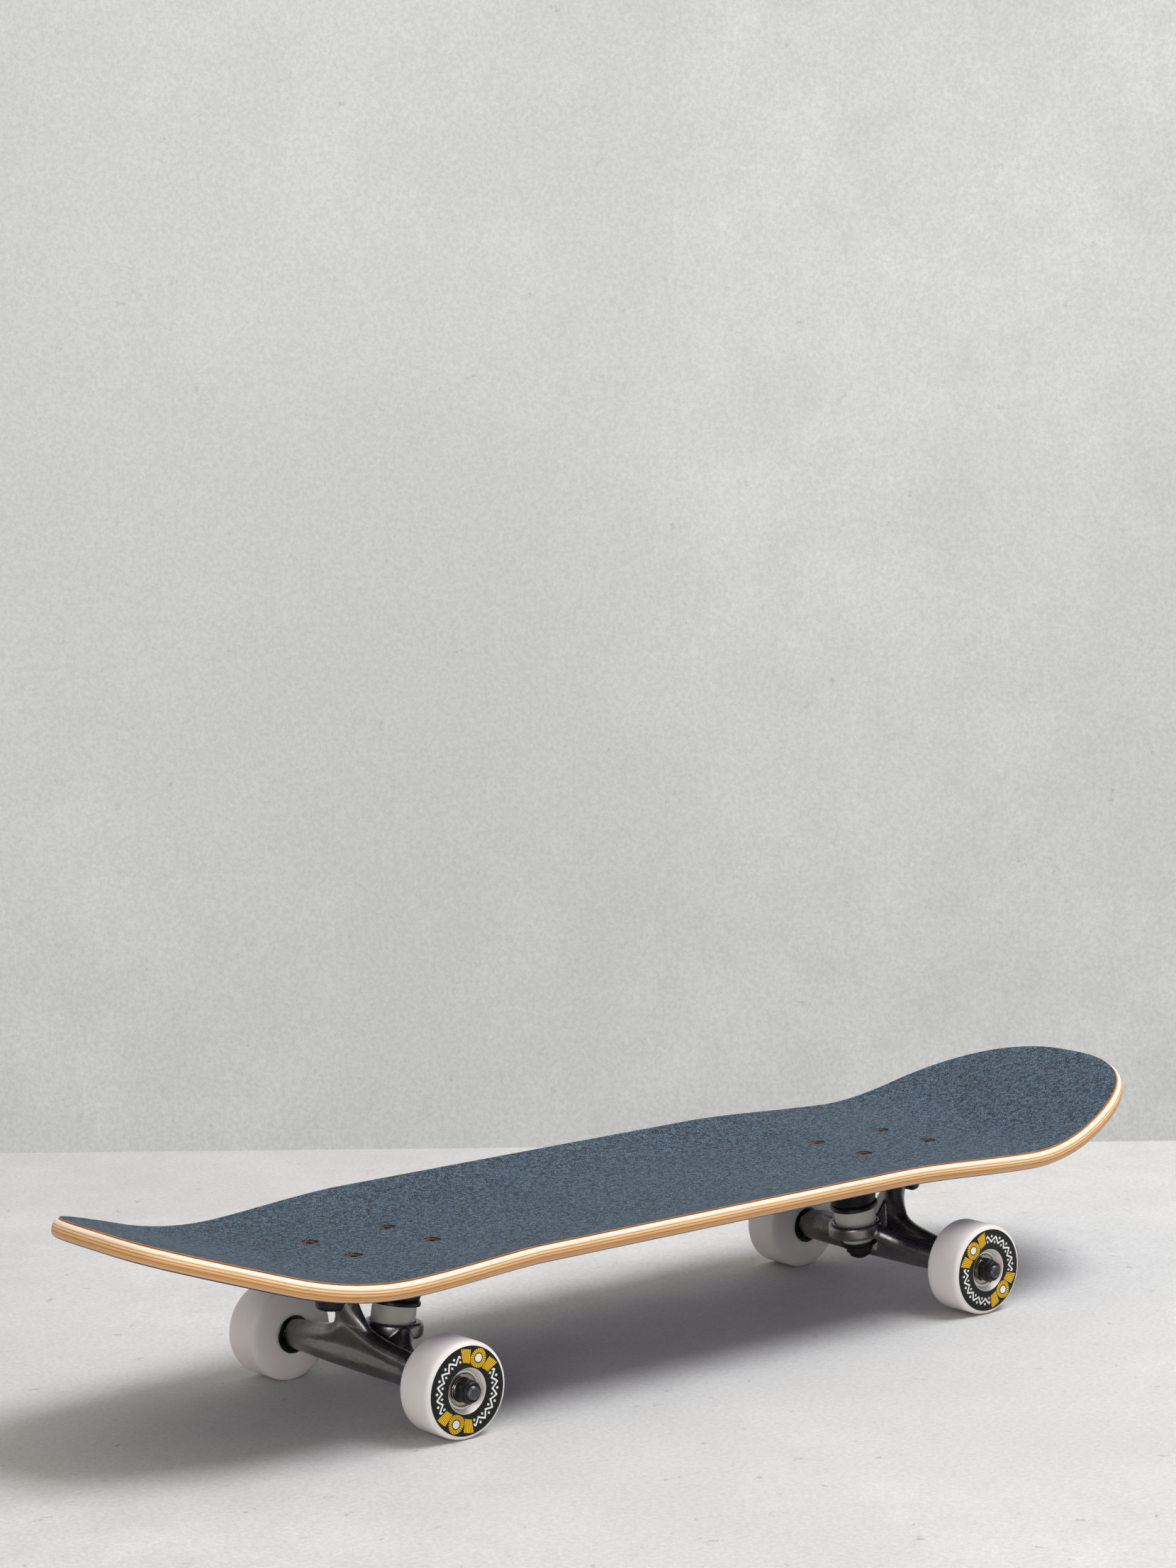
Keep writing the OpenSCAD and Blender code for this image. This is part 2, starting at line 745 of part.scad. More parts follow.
// The neck: oval sections along a bend that starts in the web and ends on the steering axis
neck_start = 13;
neck_flare = 17;
neck_rings = 10;
neck_sides = 24;
function bend_point(t) = let (
    a = [axle_out + neck_start * cos(web_dir), axle_z + neck_start * sin(web_dir)],
    b = [pivot_bend_x(), pivot_bend_z()],
    c = [pivot_out, pivot_z] - 1.6 * [cos(steer_angle), sin(steer_angle)]
) (1 - t) * (1 - t) * a + 2 * t * (1 - t) * b + t * t * c;
function bend_dir(t) = let (d = bend_point(min(1, t + 0.01)) - bend_point(max(0, t - 0.01))) d / norm(d);
function neck_ring(t) = let (
    p = bend_point(t),
    d = bend_dir(t),
    half_w = neck_r + neck_flare * pow(1 - t, 3),
    half_t = web_half - 0.4 + (neck_r - web_half + 0.4) * smooth(t * 1.4)
) [for (k = [0:neck_sides - 1]) let (a = 360 * k / neck_sides)
    [p[0] + half_t * cos(a) * d[1], half_w * sin(a), p[1] - half_t * cos(a) * d[0]]];

module hanger_neck() {
    polyhedron(
        [for (i = [0:neck_rings]) each neck_ring(i / neck_rings)],
        concat(
            flipped(skin_faces(neck_rings + 1, neck_sides)),
            [[for (k = [0:neck_sides - 1]) k]],
            [[for (k = [neck_sides - 1:-1:0]) neck_rings * neck_sides + k]]
        )
    );
}

// The pivot nub turns in its cup, so it is round about the steering axis
module pivot_nub() {
    tip_gap = 0.4;
    tip = cup_deep - 1.7 - tip_gap;
    on_steering_axis()
        rotate_extrude()
            polygon([
                [0, -4], [neck_r - 0.4, -4], [neck_r - 0.4, -2], [nub_r, -1],
                [nub_r, tip - 3.2], [nub_r - 2, tip - 0.2], [0, tip]
            ]);
}

// The ring stands around the kingpin, with a dish for each bushing. Its wall is thicker
// and higher on the side away from the axle
module hanger_ring() {
    round = 2.4;
    on_kingpin()
        translate([-1.2, 0, 0])
            rotate([0, 4, 0])
                rotate_extrude()
                    polygon(concat(
                        [[ring_hole_r - 2, -ring_h / 2 + 0.5], [ring_r - round, -ring_h / 2]],
                        [for (a = [-75:15:75])
                            [ring_r - round + round * cos(a),
                                sign(a) * (ring_h / 2 - round) + round * sin(a)]],
                        [[ring_r - round, ring_h / 2], [ring_hole_r - 2, ring_h / 2 - 0.5]]
                    ));
}

// The casting stops at the ring's wall, and is relieved round the washer and the nut, so that
// neither touches it at full lock
module ring_room() {
    washer_room = cone_tip_d / 2 + washer_t + 2.4;
    nut_room = king_nut_af / 2 / cos(30) + 2.6;
    on_kingpin() {
        translate([0, 0, -ring_h / 2 + 0.5])
            cylinder(r = ring_r - 2.5, h = 40);
        translate([0, 0, nut_top - 0.5])
            cylinder(r = washer_room, h = -nut_top);
        translate([0, 0, nut_bottom - 1])
            cylinder(r1 = nut_room, r2 = washer_room, h = king_nut_h + 0.51);
        translate([0, 0, -40])
            cylinder(r = nut_room, h = 40 + nut_bottom - 0.9);
    }
}

module ring_cuts() {
    barrel_dish_r = barrel_d / 2 + dish_gap;
    cone_dish_r = cone_d / 2 + dish_gap;
    on_kingpin() {
        translate([0, 0, -30])
            cylinder(r = ring_hole_r, h = 60);
        translate([0, 0, barrel_seat])
            cylinder(r = barrel_dish_r, h = 12);
        translate([0, 0, cone_seat - 12])
            cylinder(r = cone_dish_r, h = 12);
    }
}

module hanger(front) {
    color("slategray")
        at_truck(front)
            difference() {
                union() {
                    difference() {
                        hanger_casting();
                        ring_room();
                    }
                    hanger_neck();
                    pivot_nub();
                    hanger_ring();
                }
                ring_cuts();
                axle_bar(hanger_w + 2);
            }
}

// ---- Axle, bearings and wheels ----
module axle_bar(long) {
    translate([axle_out, long / 2, axle_z])
        rotate([90, 0, 0])
            cylinder(d = axle_d, h = long);
}

module axle(front) {
    chamfer = 0.8;
    color("gray")
        at_truck(front)
            translate([axle_out, 0, axle_z])
                rotate([90, 0, 0])
                    rotate_extrude()
                        polygon([
                            [0, -axle_l / 2], [axle_d / 2 - chamfer, -axle_l / 2],
                            [axle_d / 2, -axle_l / 2 + chamfer], [axle_d / 2, axle_l / 2 - chamfer],
                            [axle_d / 2 - chamfer, axle_l / 2], [0, axle_l / 2]
                        ]);
}

// Distances along the axle from the middle of the truck
inner_bearing = hanger_w / 2 + speed_washer_t;
outer_bearing = inner_bearing + bearing_w + spacer_l;
outer_washer = outer_bearing + bearing_w;
wheel_mid = (inner_bearing + outer_washer) / 2;

// One end of the axle: origin on its centre line, +Z out from the middle of the board.
// side is 1 for the end on the board's +Y side and -1 for the other
module on_axle(front, side) {
    turn = front ? -side : side;
    at_truck(front)
        translate([axle_out, 0, axle_z])
            rotate([-90 * turn, 0, 0])
                children();
}

module both_axle_ends(front) {
    for (side = [-1, 1])
        on_axle(front, side) children();
}

module tube(outer, inner, from, long) {
    translate([0, 0, from])
        difference() {
            cylinder(r = outer, h = long);
            translate([0, 0, -1])
                cylinder(r = inner, h = long + 2);
        }
}

module speed_washers(front) {
    color("black")
        both_axle_ends(front) {
            tube(speed_washer_d / 2, axle_d / 2, hanger_w / 2, speed_washer_t);
            tube(speed_washer_d / 2, axle_d / 2, outer_washer, speed_washer_t);
        }
}

module axle_nuts(front) {
    color("black")
        both_axle_ends(front)
            translate([0, 0, outer_washer + speed_washer_t + axle_nut_h])
                mirror([0, 0, 1])
                    lock_nut(axle_nut_af, axle_nut_h, axle_d);
}

ball_r = 1.98;
ball_pitch_r = 7.6;
ball_count = 7;
groove_gap = 0.06;
race_wall = 2.05;
inner_race_r = axle_d / 2 + race_wall;
outer_race_r = bearing_d / 2 - race_wall + 0.25;

module groove(from) {
    translate([0, 0, from + bearing_w / 2])
        rotate_extrude()
            translate([ball_pitch_r, 0])
                circle(r = ball_r + groove_gap, $fn = 32);
}

module bearing_inner_races(front) {
    color("silver")
        both_axle_ends(front)
            for (from = [inner_bearing, outer_bearing])
                difference() {
                    tube(inner_race_r, axle_d / 2, from, bearing_w);
                    groove(from);
                }
}

module bearing_spacers(front) {
    color("silver")
        both_axle_ends(front)
            tube(inner_race_r - 0.6, axle_d / 2, inner_bearing + bearing_w, spacer_l);
}

module bearing_outer_races(front, side) {
    color("silver")
        on_axle(front, side)
            for (from = [inner_bearing, outer_bearing])
                difference() {
                    tube(bearing_d / 2, outer_race_r, from, bearing_w);
                    groove(from);
                }
}

shield_t = 0.4;
shield_in = 0.25;

module bearing_shields(front, side) {
    color("gray")
        on_axle(front, side)
            for (from = [inner_bearing, outer_bearing])
                for (at = [shield_in, bearing_w - shield_in - shield_t])
                    tube(outer_race_r, inner_race_r + 0.3, from + at, shield_t);
}

// Seven balls and the crown that spaces them
module bearing_balls(front, side) {
    cage_low = 0.6;
    cage_t = 2;
    cage_half = 0.7;
    color("lightgray")
        on_axle(front, side)
            for (from = [inner_bearing, outer_bearing])
                translate([0, 0, from + bearing_w / 2]) {
                    for (k = [0:ball_count - 1])
                        rotate(360 * k / ball_count)
                            translate([ball_pitch_r, 0, 0])
                                sphere(r = ball_r);
                    difference() {
                        tube(ball_pitch_r + cage_half, ball_pitch_r - cage_half, cage_low, cage_t);
                        for (k = [0:ball_count - 1])
                            rotate(360 * k / ball_count)
                                translate([ball_pitch_r, 0, 0])
                                    sphere(r = ball_r + groove_gap);
                    }
                }
}

// A wheel is one casting: a flat tread, a printed face that stands out from the outer bearing,
// a shallow cone behind, and a seat for a bearing in each side
module wheel(front, side) {
    tread_r = wheel_d / 2;
    face_r = face_d / 2;
    core_half = spacer_l / 2;
    seat_r = bearing_d / 2;
    seat = core_half + bearing_w;
    back_r = 23.5;
    back = face_in - 1.6;
    color("whitesmoke")
        on_axle(front, side)
            translate([0, 0, wheel_mid])
                rotate_extrude($fn = 96)
                    polygon(concat(
                        [
                            [axle_d / 2 + 4, core_half], [seat_r, core_half], [seat_r, seat],
                            [mouth_d / 2 - 0.6, face_out - 0.7], [mouth_d / 2, face_out]
                        ],
                        shoulder([face_r - 0.6, face_out], [face_r + 1.2, face_out - 0.3],
                            [tread_r, tread_out + 2.6], [tread_r, tread_out]),
                        shoulder([tread_r, -tread_in], [tread_r, -tread_in - 2],
                            [tread_r - 1.4, -back + 0.9], [back_r, -back]),
                        [
                            [seat_r + 1.5, -face_in], [seat_r, -seat], [seat_r, -core_half],
                            [axle_d / 2 + 4, -core_half]
                        ]
                    ));
}

// A smooth curve between two points, bent towards two more
function shoulder(a, b, c, d) = [for (k = [0:8]) let (v = k / 8)
    pow(1 - v, 3) * a + 3 * v * pow(1 - v, 2) * b + 3 * v * v * (1 - v) * c + pow(v, 3) * d];

// ---- Everything ----
deck();
grip_tape();
mounting_bolts(true);  // front_mounting_bolts
mounting_nuts(true);  // front_mounting_nuts
mounting_bolts(false);  // rear_mounting_bolts
mounting_nuts(false);  // rear_mounting_nuts
baseplate(true);  // front_baseplate
pivot_cup(true);  // front_pivot_cup
kingpin(true);  // front_kingpin
kingpin_nut(true);  // front_kingpin_nut
boardside_washer(true);  // front_boardside_washer
roadside_washer(true);  // front_roadside_washer
boardside_bushing(true);  // front_boardside_bushing
roadside_bushing(true);  // front_roadside_bushing
hanger(true);  // front_hanger
axle(true);  // front_axle
speed_washers(true);  // front_speed_washers
axle_nuts(true);  // front_axle_nuts
bearing_inner_races(true);  // front_bearing_inner_races
bearing_spacers(true);  // front_bearing_spacers
baseplate(false);  // rear_baseplate
pivot_cup(false);  // rear_pivot_cup
kingpin(false);  // rear_kingpin
kingpin_nut(false);  // rear_kingpin_nut
boardside_washer(false);  // rear_boardside_washer
roadside_washer(false);  // rear_roadside_washer
boardside_bushing(false);  // rear_boardside_bushing
roadside_bushing(false);  // rear_roadside_bushing
hanger(false);  // rear_hanger
axle(false);  // rear_axle
speed_washers(false);  // rear_speed_washers
axle_nuts(false);  // rear_axle_nuts
bearing_inner_races(false);  // rear_bearing_inner_races
bearing_spacers(false);  // rear_bearing_spacers
wheel(true, -1);  // front_left_wheel
bearing_outer_races(true, -1);  // front_left_bearing_outer_races
bearing_shields(true, -1);  // front_left_bearing_shields
bearing_balls(true, -1);  // front_left_bearing_balls
wheel(true, 1);  // front_right_wheel
bearing_outer_races(true, 1);  // front_right_bearing_outer_races
bearing_shields(true, 1);  // front_right_bearing_shields
bearing_balls(true, 1);  // front_right_bearing_balls
wheel(false, -1);  // rear_left_wheel
bearing_outer_races(false, -1);  // rear_left_bearing_outer_races
bearing_shields(false, -1);  // rear_left_bearing_shields
bearing_balls(false, -1);  // rear_left_bearing_balls
wheel(false, 1);  // rear_right_wheel
bearing_outer_races(false, 1);  // rear_right_bearing_outer_races
bearing_shields(false, 1);  // rear_right_bearing_shields
bearing_balls(false, 1);  // rear_right_bearing_balls
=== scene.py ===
# %% [markdown]
# # A skateboard, piece by piece
# The constructed model comes in first as a fixed frame: every node already stands in its place, in
# metres, with its object at the origin. This lesson dresses that frame. It keeps the nodes whose
# shape is right, gives each a finish, and models again the pieces that deserve finer shapes: the
# laminated deck, the cast hangers, the wheels, the bearings and the threaded steel.

import json
import math

import bmesh
import bpy
from mathutils import Matrix, Vector
from mathutils.bvhtree import BVHTree


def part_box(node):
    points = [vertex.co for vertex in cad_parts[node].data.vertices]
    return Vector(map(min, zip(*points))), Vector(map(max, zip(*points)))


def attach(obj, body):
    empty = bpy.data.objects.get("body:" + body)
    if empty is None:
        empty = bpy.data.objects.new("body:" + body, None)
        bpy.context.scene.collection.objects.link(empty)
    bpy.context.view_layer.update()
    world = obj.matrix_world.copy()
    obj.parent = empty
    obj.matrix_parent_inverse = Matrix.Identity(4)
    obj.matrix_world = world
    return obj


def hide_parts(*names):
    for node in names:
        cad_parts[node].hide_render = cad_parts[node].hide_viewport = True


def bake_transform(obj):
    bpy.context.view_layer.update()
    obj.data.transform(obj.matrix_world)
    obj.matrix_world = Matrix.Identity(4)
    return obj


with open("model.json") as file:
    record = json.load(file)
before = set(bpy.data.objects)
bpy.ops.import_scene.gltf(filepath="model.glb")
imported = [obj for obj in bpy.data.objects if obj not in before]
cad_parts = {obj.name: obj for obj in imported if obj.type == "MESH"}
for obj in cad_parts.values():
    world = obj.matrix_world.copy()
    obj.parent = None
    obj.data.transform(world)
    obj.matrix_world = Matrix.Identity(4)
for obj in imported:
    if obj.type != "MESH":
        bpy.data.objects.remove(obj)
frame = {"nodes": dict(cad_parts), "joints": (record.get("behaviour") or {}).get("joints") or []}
nodes = frame["nodes"]
joints = {joint["name"]: joint for joint in frame["joints"]}
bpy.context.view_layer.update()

# %% [markdown]
# ## The camera
# The board stands on its wheels a little over two metres from a long lens, seen from just above and
# from its nose end. A long lens keeps the two wheels nearly the same size. The camera is placed by
# its position and three angles, so each can be read and changed: where it stands, the compass
# direction it looks in, how far it tips down, and how far it rolls.

# %% Place the camera
CAMERA_PLACE = Vector((-1.48956, -1.7527, 0.6159))
CAMERA_TURN = math.radians(39.786)
CAMERA_TIP = math.radians(7.059)
CAMERA_ROLL = math.radians(-0.604)
SENSOR_WIDE, LENS_LONG, SIGHT_END = 36, 92.18, 50

forward = Vector((
    math.sin(CAMERA_TURN) * math.cos(CAMERA_TIP),
    math.cos(CAMERA_TURN) * math.cos(CAMERA_TIP),
    -math.sin(CAMERA_TIP),
))
level_right = Vector((math.cos(CAMERA_TURN), -math.sin(CAMERA_TURN), 0))
level_up = level_right.cross(forward)
right = level_right * math.cos(CAMERA_ROLL) + level_up * math.sin(CAMERA_ROLL)
up = level_up * math.cos(CAMERA_ROLL) - level_right * math.sin(CAMERA_ROLL)

camera_data = bpy.data.cameras.new("camera")
camera_data.sensor_width = SENSOR_WIDE
camera_data.lens = LENS_LONG
camera_data.clip_end = SIGHT_END
camera = bpy.data.objects.new("camera", camera_data)
camera.matrix_world = Matrix((
    (right.x, up.x, -forward.x, CAMERA_PLACE.x),
    (right.y, up.y, -forward.y, CAMERA_PLACE.y),
    (right.z, up.z, -forward.z, CAMERA_PLACE.z),
    (0, 0, 0, 1),
))
bpy.context.scene.collection.objects.link(camera)
bpy.context.scene.camera = camera
bpy.context.scene.view_settings.view_transform = "Standard"
print("camera at", tuple(round(v, 3) for v in CAMERA_PLACE), "lens", camera_data.lens)

# %% [markdown]
# ## Words for building materials
# A material is a small network of nodes, and most of its lines are the same few moves: add a node,
# feed it, read what it puts out. These helpers give each move a short name, so that a finish below
# reads as a recipe. `feed` takes either a plain number or another node's output, so a recipe can swap
# a constant for a pattern without other changes.

# %% Define node helpers
def paint(code):
    """A colour written as #RRGGBB, as the linear values that a shader reads."""
    parts = [int(code[i:i + 2], 16) / 255 for i in (1, 3, 5)]
    return [c / 12.92 if c <= 0.04045 else ((c + 0.055) / 1.055) ** 2.4 for c in parts] + [1.0]


def add(tree, kind, **settings):
    node = tree.nodes.new(kind)
    for name, value in settings.items():
        setattr(node, name, value)
    return node


def feed(tree, socket, value):
    """Link an output to a socket, or set the socket to a plain value."""
    if isinstance(value, bpy.types.NodeSocket):
        tree.links.new(value, socket)
    elif isinstance(value, str):
        socket.default_value = paint(value)
    else:
        socket.default_value = value


def feed_all(tree, node, **values):
    """Feed several sockets by name; an underscore stands for a space."""
    for name, value in values.items():
        feed(tree, node.inputs[name.replace("_", " ")], value)
    return node


def calc(tree, operation, a, b=0.0):
    node = add(tree, "ShaderNodeMath", operation=operation)
    feed(tree, node.inputs[0], a)
    feed(tree, node.inputs[1], b)
    return node.outputs[0]


def plus(tree, a, b):
    return calc(tree, "ADD", a, b)


def minus(tree, a, b):
    return calc(tree, "SUBTRACT", a, b)


def times(tree, a, b):
    return calc(tree, "MULTIPLY", a, b)


def apart(tree, a, b):
    """How far apart two values are."""
    return calc(tree, "ABSOLUTE", minus(tree, a, b))


def long_side(tree, a, b):
    """The long side of a right-angled triangle with short sides a and b."""
    return calc(tree, "SQRT", plus(tree, times(tree, a, a), times(tree, b, b)))


print("red as a shader reads it:", paint("#FF0000"))

# %% [markdown]
# The next helpers make patterns: a noise, a range stretched to another, a stepped ramp, a mix of two
# colours and a relief. Others mix two shaders, start a material, start a group and place a group.

# %% Define pattern and material helpers
def noise(tree, vector, scale, detail=2.0, roughness=0.5):
    node = add(tree, "ShaderNodeTexNoise")
    feed_all(tree, node, Vector=vector, Scale=scale, Detail=detail, Roughness=roughness)
    return node.outputs["Fac"]


def between(tree, value, low, high, to_low=0.0, to_high=1.0):
    """Stretch a value's range from low..high to another one, and clamp it there."""
    node = add(tree, "ShaderNodeMapRange")
    feed_all(tree, node, Value=value, From_Min=low, From_Max=high, To_Min=to_low, To_Max=to_high)
    return node.outputs["Result"]


def stepped_ramp(tree, value, stops):
    node = add(tree, "ShaderNodeValToRGB")
    node.color_ramp.interpolation = "CONSTANT"
    elements = node.color_ramp.elements
    while len(elements) < len(stops):
        elements.new(0.5)
    for element, (place, colour) in zip(elements, stops):
        element.position = place
        element.color = paint(colour)
    feed(tree, node.inputs["Fac"], value)
    return node.outputs["Color"]


def blend_colours(tree, factor, a, b):
    """The node keeps sockets for numbers first, so its two colours are sockets 6 and 7."""
    node = add(tree, "ShaderNodeMix", data_type="RGBA")
    feed(tree, node.inputs["Factor"], factor)
    feed(tree, node.inputs[6], a)
    feed(tree, node.inputs[7], b)
    return node.outputs[2]


def stretched(tree, vector, scale):
    return feed_all(tree, add(tree, "ShaderNodeMapping"), Vector=vector, Scale=scale).outputs["Vector"]


def axes(tree, vector):
    return feed_all(tree, add(tree, "ShaderNodeSeparateXYZ"), Vector=vector).outputs


def relief(tree, height, distance, strength):
    node = add(tree, "ShaderNodeBump")
    feed_all(tree, node, Height=height, Distance=distance, Strength=strength)
    return node.outputs["Normal"]


def mix_shaders(tree, factor, first, second):
    node = add(tree, "ShaderNodeMixShader")
    for socket, value in zip(node.inputs, (factor, first, second)):
        feed(tree, socket, value)
    return node.outputs[0]


def start_material(name, **values):
    """A material with one Principled shader, whose uniform values are set on its own sockets."""
    material = bpy.data.materials.new(name)
    material.use_nodes = True
    tree = material.node_tree
    shader = feed_all(tree, tree.nodes["Principled BSDF"], **values)
    place = add(tree, "ShaderNodeTexCoord").outputs["Object"]
    return material, tree, shader, place


def start_group(name, inputs, outputs):
    """A shader group that reads a place and some numbers, to be placed in several materials."""
    group = bpy.data.node_groups.new(name, "ShaderNodeTree")
    for socket in inputs:
        kind = "NodeSocketVector" if socket == "Place" else "NodeSocketFloat"
        group.interface.new_socket(socket, in_out="INPUT", socket_type=kind)
    for socket in outputs:
        group.interface.new_socket(socket, in_out="OUTPUT", socket_type="NodeSocketFloat")
    return group, add(group, "NodeGroupInput").outputs, add(group, "NodeGroupOutput")


def place_group(tree, group, **values):
    return feed_all(tree, add(tree, "ShaderNodeGroup", node_tree=group), **values).outputs


def cover(piece, material):
    """Give a whole object one material."""
    piece.data.materials.clear()
    piece.data.materials.append(material)


print("material helpers are ready")

# %% [markdown]
# ## Two patterns that several finishes share
# Cast metal, paint and rubber all show the same two things when they are seen close: a fine grain
# that breaks up the highlight, and slow blotches where the surface was handled or cooled unevenly.
# One group makes both, so every finish asks for them with its own scale. A second group draws the
# streaks of wood, long in one direction and fine across it.

# %% Build the shared pattern groups
surface_marks, given, made = start_group(
    "surface marks", ["Place", "Grain Scale", "Blotch Scale"], ["Grain", "Blotches", "Specks"])
tree = surface_marks
blotches = noise(tree, given["Place"], given["Blotch Scale"], 4.0, 0.55)
specks = noise(tree, given["Place"], times(tree, given["Blotch Scale"], 14.0), 2.0, 0.7)
feed_all(tree, made, Grain=noise(tree, given["Place"], given["Grain Scale"], 3.0, 0.6),
         Blotches=between(tree, blotches, 0.3, 0.7), Specks=between(tree, specks, 0.68, 0.76))

wood_streaks, given, made = start_group("wood streaks", ["Place", "Fineness"], ["Streaks", "Pores"])
tree = wood_streaks
fine_place = add(tree, "ShaderNodeVectorMath", operation="SCALE")
feed(tree, fine_place.inputs[0], given["Place"])
feed(tree, fine_place.inputs["Scale"], given["Fineness"])
slow = noise(tree, fine_place.outputs[0], 60.0, 4.0, 0.6)
quick = noise(tree, fine_place.outputs[0], 420.0, 2.0, 0.6)
feed_all(tree, made, Streaks=plus(tree, times(tree, slow, 0.65), times(tree, quick, 0.35)),
         Pores=between(tree, quick, 0.6, 0.75))
print("groups:", [group.name for group in bpy.data.node_groups])

# %% [markdown]
# Most finishes below start in the same way: the shared marks are placed at their own scale, and the
# blotches mix two close tones. One helper takes that start, and each finish adds what is its own.

# %% Start a finish with the shared marks
def start_marked(name, grain_scale, blotch_scale, low, high, **values):
    """A material with the shared marks, whose blotches are a slow mix of two tones."""
    material, tree, shader, place = start_material(name, **values)
    marks = place_group(tree, surface_marks, Place=place,
                        Grain_Scale=grain_scale, Blotch_Scale=blotch_scale)
    return material, tree, shader, marks, blend_colours(tree, marks["Blotches"], low, high)


print("marked finishes can start")

# %% [markdown]
# ## Words for building pieces
# Every new piece starts as a bmesh, is shaped by operators, and ends the same way: its doubles are
# merged, its faces point outwards, its broad curves are smooth and its edges crisp, it gets a finish
# and, when it has one, a body to ride on, and the frame's node it takes the place of is hidden.
# `finish_piece` does those last steps.

# %% Define piece helpers
MM = 0.001
SAME_POINT = 0.002 * MM
TRUCKS = ("front", "rear")
SIDES = ("left", "right")
UPRIGHT = Matrix.Identity(4)
FLIPPED = Matrix.Rotation(math.pi, 4, "X")


def finish_piece(name, bm, body, material, node, sharp=32, outward=True):
    bmesh.ops.remove_doubles(bm, verts=bm.verts, dist=SAME_POINT)
    if outward:
        bmesh.ops.recalc_face_normals(bm, faces=bm.faces)
    mesh = bpy.data.meshes.new(name)
    bm.to_mesh(mesh)
    bm.free()
    mesh.shade_smooth()
    mesh.set_sharp_from_angle(angle=math.radians(sharp))
    piece = bpy.data.objects.new(name, mesh)
    bpy.context.scene.collection.objects.link(piece)
    cover(piece, material)
    if body:
        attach(piece, body)
    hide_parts(node)
    return piece


def swept(bm, verts, edges, steps, angle=2 * math.pi, **how):
    """Spin points and edges round the height axis, and give back all the points of the sweep."""
    before = set(bm.verts) - set(verts)
    bmesh.ops.spin(bm, geom=verts + edges, cent=(0, 0, 0), axis=(0, 0, 1),
                   angle=angle, steps=steps, **how)
    return [v for v in bm.verts if v not in before]


def drawn(bm, line):
    """A line of (radius, height) points, as bmesh points and the edges that join them in a row."""
    verts = [bm.verts.new((radius, 0, height)) for radius, height in line]
    return verts, [bm.edges.new(pair) for pair in zip(verts, verts[1:])]


def turned(bm, profile, onto, steps=64, closed=True):
    """Turn a profile of (radius, height) points into a solid, then put it in its place."""
    verts, edges = drawn(bm, profile)
    if closed:
        edges.append(bm.edges.new((verts[-1], verts[0])))
    made = swept(bm, verts, edges, steps, use_merge=True)
    bmesh.ops.transform(bm, matrix=onto, verts=made)
    return made


def merged_copy(node):
    """A copy of a node's mesh with its loose triangles joined."""
    bm = bmesh.new()
    bm.from_mesh(nodes[node].data)
    bmesh.ops.remove_doubles(bm, verts=bm.verts, dist=SAME_POINT / 2)
    return bm


def curve_points(start, pull_start, pull_end, end, steps):
    """Points on a smooth curve between two points, drawn towards two more."""
    ends = [Vector(p) for p in (start, pull_start, pull_end, end)]
    return [tuple(
        ends[0] * (1 - t) ** 3 + ends[1] * 3 * t * (1 - t) ** 2
        + ends[2] * 3 * t * t * (1 - t) + ends[3] * t ** 3
    ) for t in (k / steps for k in range(steps + 1))]


def in_metres(millimetres):
    return [(radius * MM, height * MM) for radius, height in millimetres]


def off_axis(point):
    return math.hypot(point.x, point.y)


def raised(height):
    return Matrix.Translation((0, 0, height))


def even_shading(piece):
    """Let broad faces rule the shading, so that narrow slivers beside a hole leave no mark."""
    modifier = piece.modifiers.new("even shading", "WEIGHTED_NORMAL")
    modifier.keep_sharp = True
    modifier.weight = 80


def axle_frame(truck, side):
    """Origin at a wheel's middle, +Z outwards along the axle."""
    centre = Vector(joints[f"{truck}_{side}_wheel_spin"]["pos_m"])
    outward = 1 if centre.y > 0 else -1
    return Matrix.Translation(centre) @ Matrix.Rotation(math.radians(-90 * outward), 4, "X")


print("piece helpers are ready")

# %% [markdown]
# ## The room: floor and backdrop
# The board stands on a pale floor with a pale wall behind it. Both are staged, so they don't belong
# to the object. Bare concrete is never one flat grey: it has slow cloudy patches from trowelling and
# fine pores. Seen directly or in a reflection, the wall glows in its own colour, a little less near
# its foot, so that the lamps draw no bright pools on it. It shows only its front, so that other views
# can look at the board from behind it.

# %% Make the floor and the wall
FLOOR_HALF, WALL_HALF, WALL_HIGH, WALL_AWAY = 9, 6, 5, 2.843


def concrete(name, base, cloud, pore):
    material, tree, shader, place = start_material(name, Roughness=0.8, Specular_IOR_Level=0.25)
    clouds = noise(tree, stretched(tree, place, (1.0, 1.0, 0.7)), 1.6, 6.0, 0.6)
    patches = between(tree, noise(tree, place, 14.0, 9.0, 0.75), 0.4, 0.64)
    sand = between(tree, noise(tree, place, 330.0, 5.0, 0.85), 0.4, 0.6)
    pores = between(tree, noise(tree, place, 62.0, 8.0, 0.8), 0.62, 0.68)
    colour = blend_colours(tree, between(tree, clouds, 0.35, 0.65), base, cloud)
    colour = blend_colours(tree, times(tree, patches, 0.75), colour, cloud)
    colour = blend_colours(tree, times(tree, sand, 0.3), colour, pore)
    colour = blend_colours(tree, times(tree, pores, 0.45), colour, pore)
    rough = plus(tree, noise(tree, place, 260.0, 4.0, 0.7), times(tree, pores, -0.6))
    feed_all(tree, shader, Base_Color=colour, Normal=relief(tree, rough, 0.0005, 0.8))
    return material, tree, shader, place, colour


def flat_sheet(name, corners, material):
    bm = bmesh.new()
    bm.faces.new([bm.verts.new(corner) for corner in corners])
    mesh = bpy.data.meshes.new(name)
    bm.to_mesh(mesh)
    bm.free()
    sheet = bpy.data.objects.new(name, mesh)
    bpy.context.scene.collection.objects.link(sheet)
    cover(sheet, material)
    return sheet


